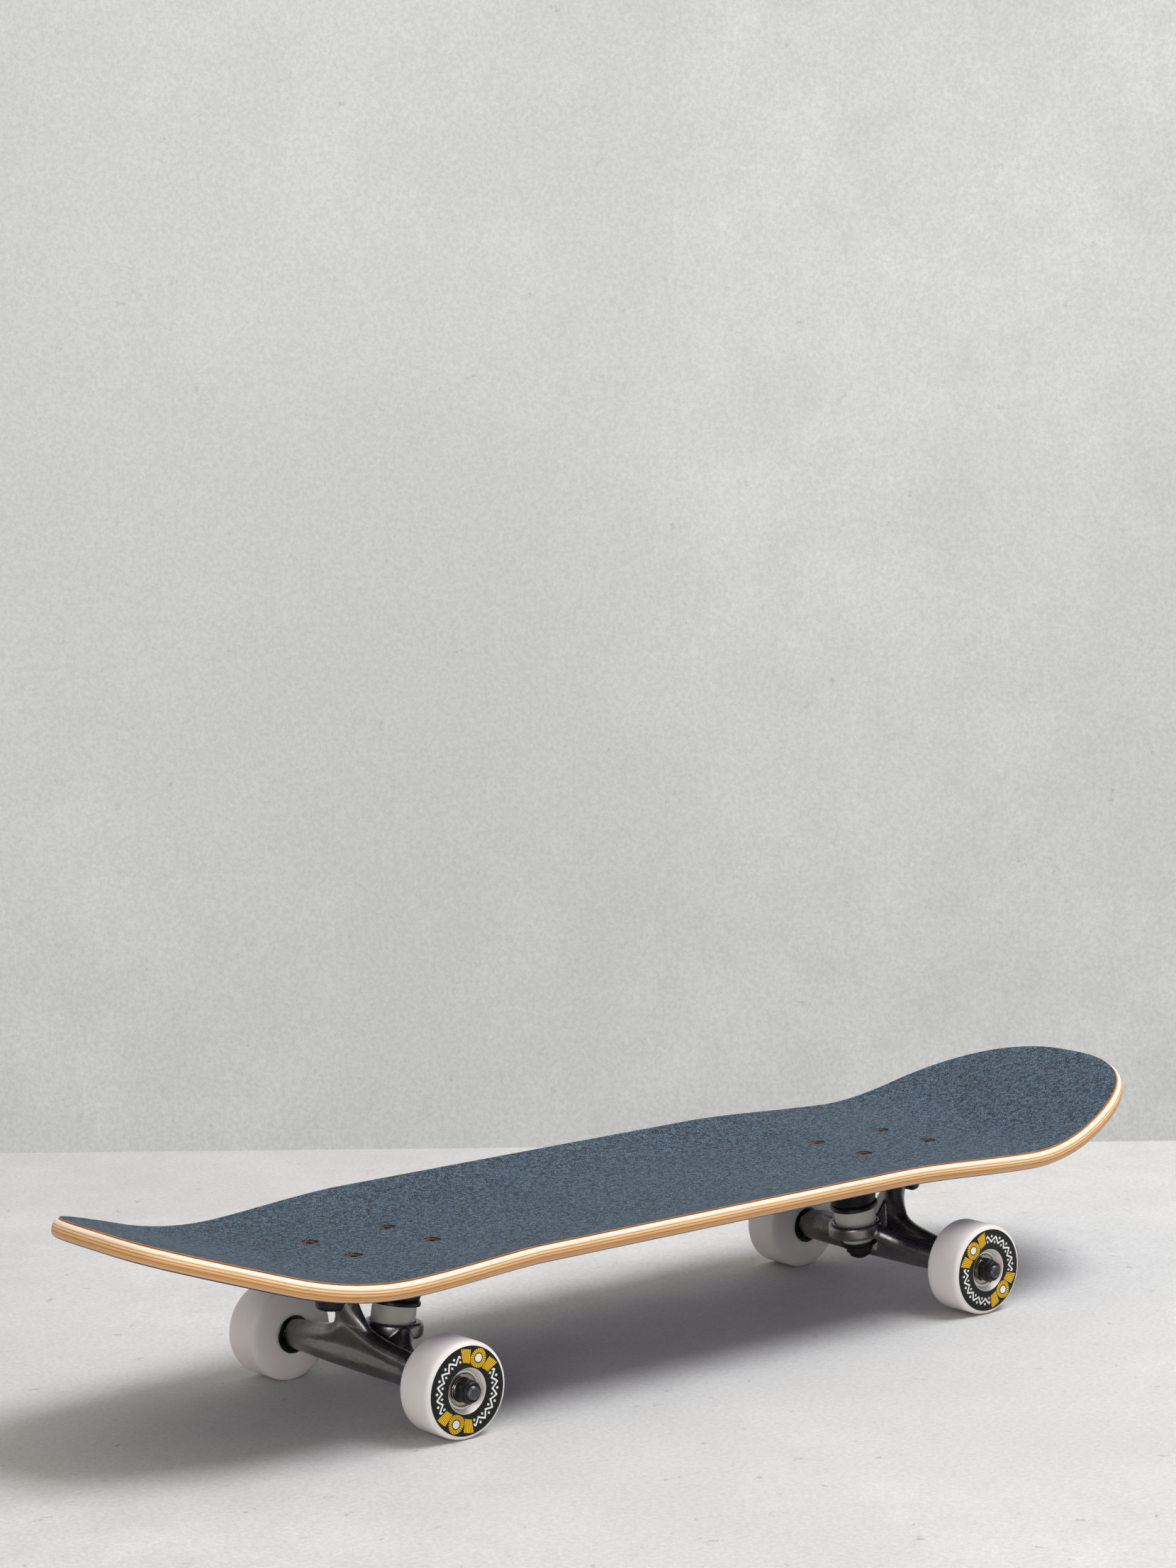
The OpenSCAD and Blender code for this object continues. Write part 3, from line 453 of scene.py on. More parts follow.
floor_concrete = concrete("floor concrete", "#DDDDDC", "#C9C9C8", "#9C9A97")[0]
flat_sheet("floor", [(x * FLOOR_HALF, y * FLOOR_HALF, 0)
                     for x, y in ((-1, -1), (1, -1), (1, 1), (-1, 1))], floor_concrete)

wall_concrete, tree, shader, place, colour = concrete("wall concrete", "#E8E9E8", "#D6D6D4", "#A3A19C")
glow = add(tree, "ShaderNodeEmission")
feed_all(tree, glow, Color=colour, Strength=between(tree, axes(tree, place)["Z"], 0.0, 0.6, 0.8, 1.0))
ray = add(tree, "ShaderNodeLightPath").outputs
seen = calc(tree, "MAXIMUM", ray["Is Camera Ray"], ray["Is Glossy Ray"])
front = mix_shaders(tree, seen, shader.outputs[0], glow.outputs[0])
from_behind = add(tree, "ShaderNodeNewGeometry").outputs["Backfacing"]
clear = add(tree, "ShaderNodeBsdfTransparent").outputs[0]
feed_all(tree, tree.nodes["Material Output"], Surface=mix_shaders(tree, from_behind, front, clear))

ahead = Vector((math.sin(CAMERA_TURN), math.cos(CAMERA_TURN), 0))
foot = Vector((CAMERA_PLACE.x, CAMERA_PLACE.y, 0)) + ahead * WALL_AWAY
left_foot, right_foot = foot - level_right * WALL_HALF, foot + level_right * WALL_HALF
top = Vector((0, 0, WALL_HIGH))
wall = flat_sheet("wall", [left_foot, right_foot, right_foot + top, left_foot + top], wall_concrete)
wall.visible_shadow = False
print("wall stands", WALL_AWAY, "m from the camera")

# %% [markdown]
# ## Soft studio light
# Daylight in a bright room comes from everywhere, but most of it from above. So the world is nearly
# dark at the sides and bright overhead, and a little warm where it lights the board, while the camera
# sees it as plain pale grey. One wide lamp overhead, a little to the right, gives the soft shadow
# under the board. A second, fainter lamp low on the left keeps the wheels' faces readable.

# %% Light the scene
WORLD_AS_SEEN = 0.74

world = bpy.data.worlds.new("room light")
bpy.context.scene.world = world
world.use_nodes = True
sky = world.node_tree
camera_ray = add(sky, "ShaderNodeLightPath").outputs["Is Camera Ray"]
height = axes(sky, add(sky, "ShaderNodeTexCoord").outputs["Generated"])["Z"]
strength = add(sky, "ShaderNodeMix", data_type="FLOAT")
feed_all(sky, strength, Factor=camera_ray, A=between(sky, height, 0.3, 0.95, 0.02, 0.85), B=WORLD_AS_SEEN)
feed_all(sky, sky.nodes["Background"], Color=blend_colours(sky, camera_ray, "#FFF4E8", "#FDFDFD"),
         Strength=strength.outputs[0])


def soft_lamp(name, place, target, wide, watts, colour):
    data = bpy.data.lights.new(name, "AREA")
    data.shape = "DISK"
    data.size = wide
    data.energy = watts
    data.color = paint(colour)[:3]
    lamp = bpy.data.objects.new(name, data)
    lamp.location = place
    lamp.rotation_euler = (Vector(target) - Vector(place)).to_track_quat("-Z", "Y").to_euler()
    bpy.context.scene.collection.objects.link(lamp)


soft_lamp("window", (0.8, -0.75, 2.3), (0, 0, 0.05), 1.4, 56, "#F7FAFF")
soft_lamp("fill", (-2.1, -1.5, 0.8), (0, 0, 0.05), 1.1, 18, "#FEFCFC")

# %% [markdown]
# ## The deck: seven plies of maple
# A deck is seven veneers glued in a bent mould and cut to its outline, so the glue lines follow every
# bend and show as stripes all round the sanded edge. Stripes by height would run straight through the
# kicks. Instead each point of a merged copy learns how deep it lies below the top skin, and the
# finish reads that depth, so the plies bend with the board as the real ones do.

# %% Measure the depth of every point of the deck
PLY_COUNT = 7
TAPE_THICK = 0.8 * MM
deck_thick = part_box("front_mounting_bolts")[1].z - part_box("front_baseplate")[1].z

tape = merged_copy("grip_tape")
tape.normal_update()
for face in [f for f in tape.faces if f.normal.z < 0.5]:
    tape.faces.remove(face)
tape_top = BVHTree.FromBMesh(tape)
tape.free()


def depth_below_tape(point):
    spot, normal, _, _ = tape_top.find_nearest(point)
    return (spot - point).dot(normal) - TAPE_THICK


deck_shape = merged_copy("deck")
depth_layer = deck_shape.verts.layers.float.new("depth")
for vert in deck_shape.verts:
    vert[depth_layer] = depth_below_tape(vert.co) / deck_thick
depths = [vert[depth_layer] for vert in deck_shape.verts]
print("deck is", round(deck_thick / MM, 1), "mm thick")
print("depths from", round(min(depths), 3), "to", round(max(depths), 3))

# %% [markdown]
# The veneer finish has three layers of detail. A stepped ramp gives each ply its tone, the cross
# plies darker because the saw meets their fibres end on. Streaks stretched along the board give the
# long fibres, and they are squeezed through the depth, so that each ply carries several lines. The
# underside is the bottom veneer, stained blue-violet under a clear lacquer, with its colour fading
# over the rounded edge.

# %% Mix the maple finish
ALONG, THROUGH = 0.16, 0.11

maple, tree, shader, place = start_material("lacquered maple", Specular_IOR_Level=0.45)
depth = add(tree, "ShaderNodeAttribute", attribute_name="depth").outputs["Fac"]
spot = axes(tree, place)
ply_place = feed_all(tree, add(tree, "ShaderNodeCombineXYZ"), X=times(tree, spot["X"], ALONG),
                     Y=times(tree, spot["Y"], ALONG), Z=times(tree, depth, THROUGH)).outputs[0]
fibres = place_group(tree, wood_streaks, Place=ply_place, Fineness=2.6)["Streaks"]
waves = times(tree, minus(tree, noise(tree, place, 22.0, 3.0), 0.5), 0.03)
wavy_depth = plus(tree, depth, waves)
ply_tone = stepped_ramp(tree, wavy_depth, [
    (0.0, "#DF853A"), (0.03, "#FFF1DC"), (0.24, "#F6D9B2"), (0.285, "#D58A48"), (0.32, "#FADAAA"),
    (0.42, "#E2B480"), (0.46, "#C97C3E"), (0.5, "#F6CB90"), (0.585, "#D8A872"), (0.635, "#C58246"),
    (0.69, "#E3B078"), (0.775, "#CA8F54"), (0.81, "#E8BC86"), (0.88, "#D0B286"),
])
wood = blend_colours(tree, between(tree, fibres, 0.46, 0.68), ply_tone, "#B0702F")
wood = blend_colours(tree, 0.42, ply_tone, wood)
in_ply = calc(tree, "FRACT", times(tree, wavy_depth, PLY_COUNT))
glue = between(tree, apart(tree, in_ply, 0.5), 0.455, 0.49)
wood = blend_colours(tree, times(tree, glue, 0.35), wood, "#8A5A2C")
charred = between(tree, noise(tree, stretched(tree, place, (9, 9, 60)), 8.0), 0.66, 0.72)
wood = blend_colours(tree, times(tree, charred, 0.25), wood, "#7A4A22")

under_grain = place_group(tree, wood_streaks, Place=stretched(tree, place, (0.1, 1.0, 0.4)), Fineness=2.2)
stain = blend_colours(tree, under_grain["Streaks"], "#261F58", "#3A317C")
stain = blend_colours(tree, times(tree, under_grain["Pores"], 0.5), stain, "#1B1942")
stained = between(tree, wavy_depth, 0.925, 0.945)
feed_all(tree, shader, Base_Color=blend_colours(tree, stained, wood, stain),
         Roughness=between(tree, fibres, 0.35, 0.7, 0.5, 0.36), Normal=relief(tree, fibres, 0.00012, 0.5))

deck = finish_piece("laminated_deck", deck_shape, "board", maple, "deck",
                    sharp=50, outward=False)
even_shading(deck)
print("deck:", len(deck.data.polygons), "faces")

# %% [markdown]
# ## Grip tape
# Grip tape is sandpaper for shoes: black-grey grit glued to a film. From two metres it reads as one
# dark slate tone, broken by grains that catch the light. One pattern of small cells makes the grains,
# and the few cells that draw a high number get a pale colour as a painted highlight for their glint.
# The bump uses the same cells, so the painted glints and the relief agree. Two slower noises drift the
# slate from dark to light, and a very slow one adds dust. Where the tape is filed down to the deck's
# outline, its steep rim shows a worn tan, which is also painted light that lifts the shade there.

# %% Mix the grit with its painted glints, and the worn rim with painted light
grit, tree, shader, place = start_material("grip tape grit", Specular_IOR_Level=0.35)
cells = feed_all(tree, add(tree, "ShaderNodeTexVoronoi"), Vector=place, Scale=1600.0).outputs
grains = between(tree, cells["Distance"], 0.0, 0.55, 1.0, 0.0)
luck = add(tree, "ShaderNodeSeparateColor")
feed(tree, luck.inputs[0], cells["Color"])
painted_glints = between(tree, luck.outputs[0], 0.72, 0.9)
dark = between(tree, luck.outputs[1], 0.0, 0.45, 1.0, 0.0)
coarse = noise(tree, place, 260.0, 2.0, 0.8)
drift = plus(tree, noise(tree, place, 420.0, 3.0, 0.75), times(tree, coarse, 0.5))
dusty = between(tree, noise(tree, place, 9.0, 4.0, 0.6), 0.35, 0.75)
tone = blend_colours(tree, between(tree, drift, 0.66, 0.86), "#121C25", "#465D70")
tone = blend_colours(tree, times(tree, dark, 0.55), tone, "#161E26")
# painted highlight: a pale colour on a few grains stands in for their glints
tone = blend_colours(tree, times(tree, painted_glints, grains), tone, "#BFD0DE")
tone = blend_colours(tree, times(tree, dusty, 0.1), tone, "#6A7A89")
feed_all(tree, shader, Base_Color=tone, Roughness=between(tree, luck.outputs[2], 0.0, 1.0, 0.95, 0.6),
         Normal=relief(tree, grains, 0.0004, 0.8))

# the filed rim's worn tan: partly real wear, partly painted light that lifts the shade on its steep faces
filed_edge_painted_light, tree, shader, marks, tone = start_marked(
    "filed tape edge and painted light", 1500.0, 90.0, "#A06E4A", "#C79468", Roughness=0.7, Specular_IOR_Level=0.3)
feed_all(tree, shader, Base_Color=tone, Normal=relief(tree, marks["Grain"], 0.0001, 0.5))
print("tape finishes:", grit.name, "and", filed_edge_painted_light.name)

# %% [markdown]
# The tape's rim and the walls of its bolt openings are both steep. Only the rim is filed, and it lies
# beyond a rectangle that holds all the openings.

# %% Lay the tape and file its rim
FILED_STEEPNESS = 0.45
OPENINGS_X, OPENINGS_Y = 0.26, 0.05

grip = finish_piece("grip_sheet", merged_copy("grip_tape"), "board", grit, "grip_tape",
                    sharp=50, outward=False)
even_shading(grip)
grip.data.materials.append(filed_edge_painted_light)
for face in grip.data.polygons:
    at_rim = abs(face.center.x) > OPENINGS_X or abs(face.center.y) > OPENINGS_Y
    face.material_index = int(at_rim and abs(face.normal.z) < FILED_STEEPNESS)
print("grip tape:", len(grip.data.polygons), "faces")

# %% [markdown]
# ## Wheels
# A wheel is cast urethane, so it is one solid of revolution: a bearing seat in each side, a flat
# tread, a broad shoulder on the outside and a shallow cone behind. The profile is drawn once and
# spun. Each point also keeps its place in the wheel's own frame, turned by a different angle for
# each wheel, so one printed finish serves all four and no two wheels stand alike.

# %% Draw the wheel's profile
TREAD_R, SEAT_R, CORE_R, FACE_OUT = 27.25, 11, 9.2, 15.6
CORE_EDGE, SEAT_EDGE = 5, 12


def wheel_profile():
    line = [(CORE_R, CORE_EDGE), (SEAT_R, CORE_EDGE), (SEAT_R, SEAT_EDGE), (11.15, 12.25), (12.1, 14.7)]
    line += curve_points((12.2, 14.95), (12.4, 15.45), (12.6, FACE_OUT), (13.0, FACE_OUT), 4)
    line += [(18, FACE_OUT), (22.5, FACE_OUT)]
    line += curve_points((24.2, FACE_OUT), (26.0, 15.35), (TREAD_R, 14.3), (TREAD_R, 11.7), 12)
    line += [(TREAD_R, 8), (TREAD_R, 2.3), (TREAD_R, -3)]
    line += curve_points((TREAD_R, -7.1), (TREAD_R, -9.1), (25.85, -9.9), (23.5, -10.8), 10)
    line += [(18, -11.6), (13.2, -12.4), (12.6, -12.35), (11.3, -12.1), (SEAT_R, -11.9)]
    return in_metres(line + [(SEAT_R, -CORE_EDGE), (CORE_R, -CORE_EDGE)])


print("wheel profile:", len(wheel_profile()), "points")

# %% [markdown]
# The print is a black ring on the outer face with a pale and yellow pattern: two suns, each between
# two fans of rays, and a bold zigzag border with a small diamond in every bend. It is drawn from two
# numbers, the distance from the axle and the angle round it. A group turns them into three masks:
# black for the ring, pale for the border and the suns' discs, yellow for the rays and the fans.

# %% Draw the print's ring and its zigzag border
PRINT_IN, PRINT_OUT, INK_EDGE = 12.75, 24.8, 0.08
ZIGZAGS, ZIGZAG_R, ZIGZAG_HIGH = 18.0, 17.2, 3.4

sun_print, given, print_out = start_group("sun print", ["Place"], ["Black", "Pale", "Yellow"])
tree = sun_print
spot = axes(tree, given["Place"])
radius = times(tree, long_side(tree, spot["X"], spot["Y"]), 1 / MM)
turn = calc(tree, "DIVIDE", calc(tree, "ARCTAN2", spot["Y"], spot["X"]), math.pi)


def band(value, low, high, soft):
    """1 between two values and 0 outside them, with a soft step at each."""
    rise = between(tree, value, low - soft, low + soft)
    return times(tree, rise, between(tree, value, high - soft, high + soft, 1.0, 0.0))


def diamonds(nearness, row_radius):
    """A row of small diamonds where the zigzag turns."""
    steepness = times(tree, nearness, 4.0)
    return band(minus(tree, steepness, apart(tree, radius, row_radius)), 3.0, 9.0, INK_EDGE)


outer_face = between(tree, spot["Z"], SEAT_EDGE * MM, (SEAT_EDGE + 0.2) * MM)
black = times(tree, band(radius, PRINT_IN, PRINT_OUT, 0.06), outer_face)
half_turn = calc(tree, "FRACT", plus(tree, turn, 1.0))
off_sun = apart(tree, half_turn, 0.5)

zigzag = calc(tree, "PINGPONG", times(tree, half_turn, ZIGZAGS), 1.0)
zigzag_r = plus(tree, times(tree, zigzag, ZIGZAG_HIGH), ZIGZAG_R)
stroke = band(minus(tree, radius, zigzag_r), -0.72, 0.72, INK_EDGE)
border = calc(tree, "MAXIMUM", diamonds(zigzag, 17.3), diamonds(minus(tree, 1.0, zigzag), 20.6))
border = times(tree, calc(tree, "MAXIMUM", stroke, border), band(off_sun, 0.205, 0.6, 0.002))
print("border drawn:", len(sun_print.nodes), "nodes")

# %% [markdown]
# A sun is drawn from the distance to its own centre, which lies in the middle of the ring, and from
# the angle round that centre. The fans beside it are bands of fine lines that lean a little.

# %% Draw the print's suns and fans
SUN_R, RAYS, FAN_LINES, FAN_LEAN = 18.8, 3.82, 62.0, -14.0

arc = times(tree, times(tree, off_sun, math.pi), radius)
off_ring = minus(tree, radius, SUN_R)
from_centre = long_side(tree, arc, off_ring)
sun_disc = band(from_centre, -1.0, 2.3, INK_EDGE)
ray_wave = calc(tree, "FRACT", times(tree, calc(tree, "ARCTAN2", off_ring, arc), RAYS))
rays = times(tree, band(ray_wave, 0.16, 0.84, 0.06), band(from_centre, 2.9, 5.3, 0.1))
fan_lines = band(calc(tree, "FRACT", times(tree, off_sun, FAN_LINES)), 0.16, 0.86, 0.07)
fan_r = plus(tree, radius, times(tree, off_sun, FAN_LEAN))
fan = times(tree, fan_lines, band(fan_r, 13.6, 21.2, 0.1))
fan = times(tree, band(off_sun, 0.1, 0.19, 0.002), fan)
feed_all(tree, print_out, Black=black, Pale=times(tree, calc(tree, "MAXIMUM", border, sun_disc), black),
         Yellow=times(tree, calc(tree, "MAXIMUM", rays, fan), black))
print("print group:", len(sun_print.nodes), "nodes")

# %% [markdown]
# The urethane itself is a warm white that lets a little light in under its skin. The ink lies on it
# as a colour only, a touch glossier than the cast face.

# %% Mix the urethane and spin four wheels
WHEEL_TURNS = {"front_left": 205, "front_right": 20, "rear_left": 318, "rear_right": 130}

urethane, tree, shader, marks, tone = start_marked(
    "printed urethane", 2400.0, 70.0, "#F8F2EF", "#F3ECE8", Specular_IOR_Level=0.3,
    Subsurface_Weight=0.15, Subsurface_Scale=0.003, Subsurface_Radius=(1.0, 0.75, 0.6))
hub_place = add(tree, "ShaderNodeAttribute", attribute_name="hub_place").outputs["Vector"]
masks = place_group(tree, sun_print, Place=hub_place)
tone = blend_colours(tree, times(tree, marks["Specks"], 0.12), tone, "#C4BAB2")
ink = blend_colours(tree, marks["Grain"], "#060607", "#0E0F11")
for mask, colour in (("Black", ink), ("Pale", "#F4F4F1"), ("Yellow", "#F7C400")):
    tone = blend_colours(tree, masks[mask], tone, colour)
rough = between(tree, marks["Grain"], 0.3, 0.7, 0.36, 0.48)
feed_all(tree, shader, Base_Color=tone, Roughness=minus(tree, rough, times(tree, masks["Black"], 0.1)),
         Normal=relief(tree, marks["Grain"], 0.00004, 0.6))

for truck in TRUCKS:
    for side in SIDES:
        shape = bmesh.new()
        turned(shape, wheel_profile(), UPRIGHT, steps=144)
        bmesh.ops.remove_doubles(shape, verts=shape.verts, dist=SAME_POINT)
        hub_layer = shape.verts.layers.float_vector.new("hub_place")
        spun = Matrix.Rotation(math.radians(WHEEL_TURNS[f"{truck}_{side}"]), 4, "Z")
        for vert in shape.verts:
            vert[hub_layer] = spun @ vert.co
        bmesh.ops.transform(shape, matrix=axle_frame(truck, side), verts=shape.verts)
        wheel = finish_piece(f"{truck}_{side}_tyre", shape, f"{truck}_{side}_wheel_body",
                             urethane, f"{truck}_{side}_wheel", sharp=40)
print("wheels:", len(WHEEL_TURNS), "each of", len(wheel.data.polygons), "faces")

# %% [markdown]
# ## Where each truck's parts stand
# Both trucks carry the same parts, turned end for end. The steering joint sits in the middle of the
# hanger's ring, and the kingpin leans through it by ten degrees, so two frames place all of a
# truck's hardware: one along the kingpin, and one on the floor below the four bolts.

# %% Work out the trucks' frames
KINGPIN_LEAN = math.radians(10)
RING_IN = 13.5 * MM


def ring_centre(truck):
    """The ring's middle, turned so that +X points away from the board's middle."""
    centre = Vector(joints[f"{truck}_steer"]["pos_m"])
    half_turn = math.pi if truck == "front" else 0.0
    return Matrix.Translation(centre) @ Matrix.Rotation(half_turn, 4, "Z")


def kingpin_frame(truck):
    return ring_centre(truck) @ Matrix.Rotation(-KINGPIN_LEAN, 4, "Y")


def bolts_frame(truck):
    centre = ring_centre(truck)
    return centre @ Matrix.Translation((RING_IN, 0, -centre.translation.z))


for truck in TRUCKS:
    print(truck, "bolts round", [round(v, 4) for v in bolts_frame(truck).translation])

# %% [markdown]
# ## Cast metal finishes
# A hanger is poured aluminium, tumbled until its edges are round, then given a thin dark coat that
# stays satin. The baseplate has a thicker black coat. Both come from one recipe: a slow change of
# tone, a fine grain in the gloss and the relief, and a paler tone where ridges were handled most.

# %% Mix the hanger's and the baseplate's finish
def cast_finish(name, deep, pale, worn, metallic, rough, worn_share):
    material, tree, shader, marks, tone = start_marked(
        name, 2100.0, 48.0, deep, pale, Metallic=metallic, Specular_IOR_Level=0.5)
    ridge = add(tree, "ShaderNodeNewGeometry").outputs["Pointiness"]
    handled = between(tree, plus(tree, ridge, times(tree, marks["Blotches"], 0.02)), 0.515, 0.575)
    tone = blend_colours(tree, times(tree, handled, worn_share), tone, worn)
    tone = blend_colours(tree, times(tree, marks["Specks"], 0.25), tone, deep)
    drift = between(tree, marks["Blotches"], 0, 1, -0.04, 0.04)
    sheen = plus(tree, drift, between(tree, marks["Grain"], 0.3, 0.7, rough - 0.05, rough + 0.06))
    feed_all(tree, shader, Base_Color=tone, Roughness=minus(tree, sheen, times(tree, handled, 0.05)),
             Normal=relief(tree, marks["Grain"], 0.00009, 0.55))
    return material


hanger_coat = cast_finish("dark satin casting", "#7B7978", "#8E8B89", "#CFCBC8", 0.92, 0.28, 0.65)
plate_coat = cast_finish("black coated casting", "#141417", "#1E1D20", "#3A393C", 0.3, 0.44, 0.35)
print("cast finishes:", hanger_coat.name, "and", plate_coat.name)

# %% [markdown]
# ## Hangers and baseplates
# The constructed castings meet their ribs, rings and necks in sharp creases, because each was made by
# joining solids. A real mould has a fillet in every corner. Rebuilding a copy's skin out of even
# small cells joins the solids into one, and a few rounds of smoothing then run a fillet into each
# crease and soften each edge, without moving the broad faces by more than a few tenths.

# %% Cast the hangers and the baseplates
def cast(name, node, body, material, cell, rounds):
    piece = finish_piece(name, merged_copy(node), body, material, node, outward=False)
    skin = piece.modifiers.new("even skin", "REMESH")
    skin.mode = "VOXEL"
    skin.voxel_size = cell
    skin.use_smooth_shade = True
    fillets = piece.modifiers.new("fillets", "SMOOTH")
    fillets.factor = 0.5
    fillets.iterations = rounds


for truck in TRUCKS:
    cast(f"{truck}_truck_hanger", f"{truck}_hanger", f"{truck}_hanger_body",
         hanger_coat, 0.66 * MM, 7)
    cast(f"{truck}_truck_baseplate", f"{truck}_baseplate", "board",
         plate_coat, 0.75 * MM, 3)
print("trucks cast:", len(TRUCKS))

# %% [markdown]
# ## Steel finishes
# Hard parts here come in a few looks. Black oxide is a thin, slightly oily skin on nuts, washers and
# bolts, worn to grey on corners. Ground steel is bright, and pressed shields are a touch warmer. A
# darker steel is painted shade on the bearings' shaded side, and an oiled dark steel serves the
# threaded axles and kingpins.

# %% Mix the steel finishes
def steel_finish(name, tone_low, tone_high, metallic, rough_low, rough_high, worn):
    material, tree, shader, marks, tone = start_marked(
        name, 1900.0, 130.0, tone_low, tone_high, Metallic=metallic, Specular_IOR_Level=0.5)
    ridge = add(tree, "ShaderNodeNewGeometry").outputs["Pointiness"]
    tone = blend_colours(tree, times(tree, between(tree, ridge, 0.53, 0.62), 0.45), tone, worn)
    rough = plus(tree, marks["Blotches"], times(tree, marks["Grain"], 0.6))
    feed_all(tree, shader, Base_Color=tone, Normal=relief(tree, marks["Grain"], 0.00003, 0.5),
             Roughness=between(tree, rough, 0.2, 1.4, rough_low, rough_high))
    return material


black_oxide = steel_finish("black oxide steel", "#0D0D0F", "#17171A", 0.35, 0.28, 0.42, "#3C3C40")
ground_steel = steel_finish("ground steel", "#B9B9B6", "#CDCCC8", 1.0, 0.16, 0.3, "#E4E2DC")
# painted shade: a darker steel for the bearing faces on the hanger's side
painted_shade_steel = steel_finish("painted shade steel", "#1B1C20", "#2B2C31", 0.85, 0.22, 0.36, "#6A6B70")
pressed_shield = steel_finish("pressed shield", "#8F8C80", "#ABA798", 1.0, 0.12, 0.22, "#DAD5C6")
oiled_steel = steel_finish("oiled thread steel", "#3B3B3E", "#55555A", 0.9, 0.26, 0.4, "#9A9A9E")
steels = (black_oxide, ground_steel, painted_shade_steel, pressed_shield, oiled_steel)
print("steel finishes:", [steel.name for steel in steels])

# %% [markdown]
# ## Nuts, washers and threads
# A lock nut is a hexagon with its corners turned off and a round collar that holds a nylon ring.
# Cutting a hexagon out of a turned blank is how a machine does it, and it works here too: a spun
# blank keeps the turned bevel, and every point outside the six flats is pushed back onto them. A
# thread is one saw-tooth line swept round while it climbs by one pitch a turn.

# %% Define nuts and threads
def onto_flats(verts, flats):
    """Push the points that lie outside a hexagon back onto its flats."""
    for vert in verts:
        turn = (math.atan2(vert.co.y, vert.co.x) + math.pi / 6) % (math.pi / 3) - math.pi / 6
        share = flats / 2 / math.cos(turn) / max(off_axis(vert.co), SAME_POINT)
        if share < 1:
            vert.co.x *= share
            vert.co.y *= share


def lock_nut(bm, flats, high, bore, onto):
    """A lock nut with its flat face at height 0 and its collar at the top."""
    corner = flats / 2 / math.cos(math.pi / 6)
    start = flats * 0.475
    bevel = (corner - start) * 0.62
    body = high * 0.68
    collar = flats * 0.462
    rings = [k / 5 for k in range(6)]
    profile = [(bore, 0.3 * MM), (bore + 0.3 * MM, 0)]
    profile += [(start + (corner - start) * k, bevel * k) for k in rings]
    profile += [(corner - (corner - start) * k, body - bevel * (1 - k)) for k in rings]
    profile += [
        (collar, body + 0.1 * MM), (collar, high - 1.0 * MM), (collar * 0.97, high - 0.45 * MM),
        (collar * 0.9, high - 0.1 * MM), (collar * 0.84, high), (bore + 0.9 * MM, high),
        (bore + 0.6 * MM, high - 0.25 * MM), (bore + 0.6 * MM, high - 0.9 * MM), (bore, high - 0.9 * MM),
    ]
    made = turned(bm, profile, UPRIGHT, steps=72)
    onto_flats(made, flats)
    bmesh.ops.transform(bm, matrix=onto, verts=made)


def threaded_end(bm, radius, pitch, low, high, onto, steps=40):
    """A threaded rod from low to high, with its point bevelled."""
    depth = pitch * 0.55
    root = radius - depth
    point = depth + 0.15 * MM
    line = []
    for turn in range(int((high - low) / pitch) + 2):
        level = low + (turn - 1) * pitch
        line += [(root, level), (radius, level + 0.42 * pitch), (radius, level + 0.56 * pitch)]
    thread = swept(bm, *drawn(bm, line), steps, dvec=(0, 0, pitch / steps))
    for vert in thread:
        level = min(max(vert.co.z, low), high - 0.02 * MM)
        limit = radius - max(0.0, level - (high - point))
        away = off_axis(vert.co)
        share = (root - 0.1 * MM if vert.co.z > high or vert.co.z < low else min(away, limit)) / away
        vert.co = (vert.co.x * share, vert.co.y * share, level)
    bmesh.ops.transform(bm, matrix=onto, verts=thread)
    core = root - 0.05 * MM
    turned(bm, [(0, low), (core, low), (core, high - 0.25 * MM), (root - 0.15 * MM, high),
                (root * 0.5, high + 0.1 * MM), (0, high + 0.12 * MM)], onto, steps=steps, closed=False)


def flat_washer(bm, outer, bore, low, thick, onto):
    edge = 0.2 * MM
    high = low + thick
    turned(bm, [(bore, low), (outer - edge, low), (outer, low + edge), (outer, high - edge),
                (outer - edge, high), (bore, high)], onto)


def black_part(truck, name, bm, node, body="board", sharp=32):
    """Finish one of a truck's black nuts, bolts or washers."""
    finish_piece(f"{truck}_{name}", bm, body, black_oxide, f"{truck}_{node}", sharp)


print("nuts, washers and threads are ready")

# %% [markdown]
# An axle is a plain rod with a thread at each end. Outside each wheel sit a speed washer and the lock
# nut, and inside it a second speed washer, so the bearings never rub on the nut or the hanger.

# %% Make the axles with their nuts and washers
AXLE_R, AXLE_HALF, THREAD_LONG, THREAD_PITCH = 3.97 * MM, 100 * MM, 11 * MM, 1.06 * MM
WHEEL_MID = 77.7 * MM
WASHER_AT, WASHER_R, WASHER_T = 12 * MM, 6.3 * MM, 1.2 * MM
NUT_FLATS, NUT_H = 12.7 * MM, 7.4 * MM

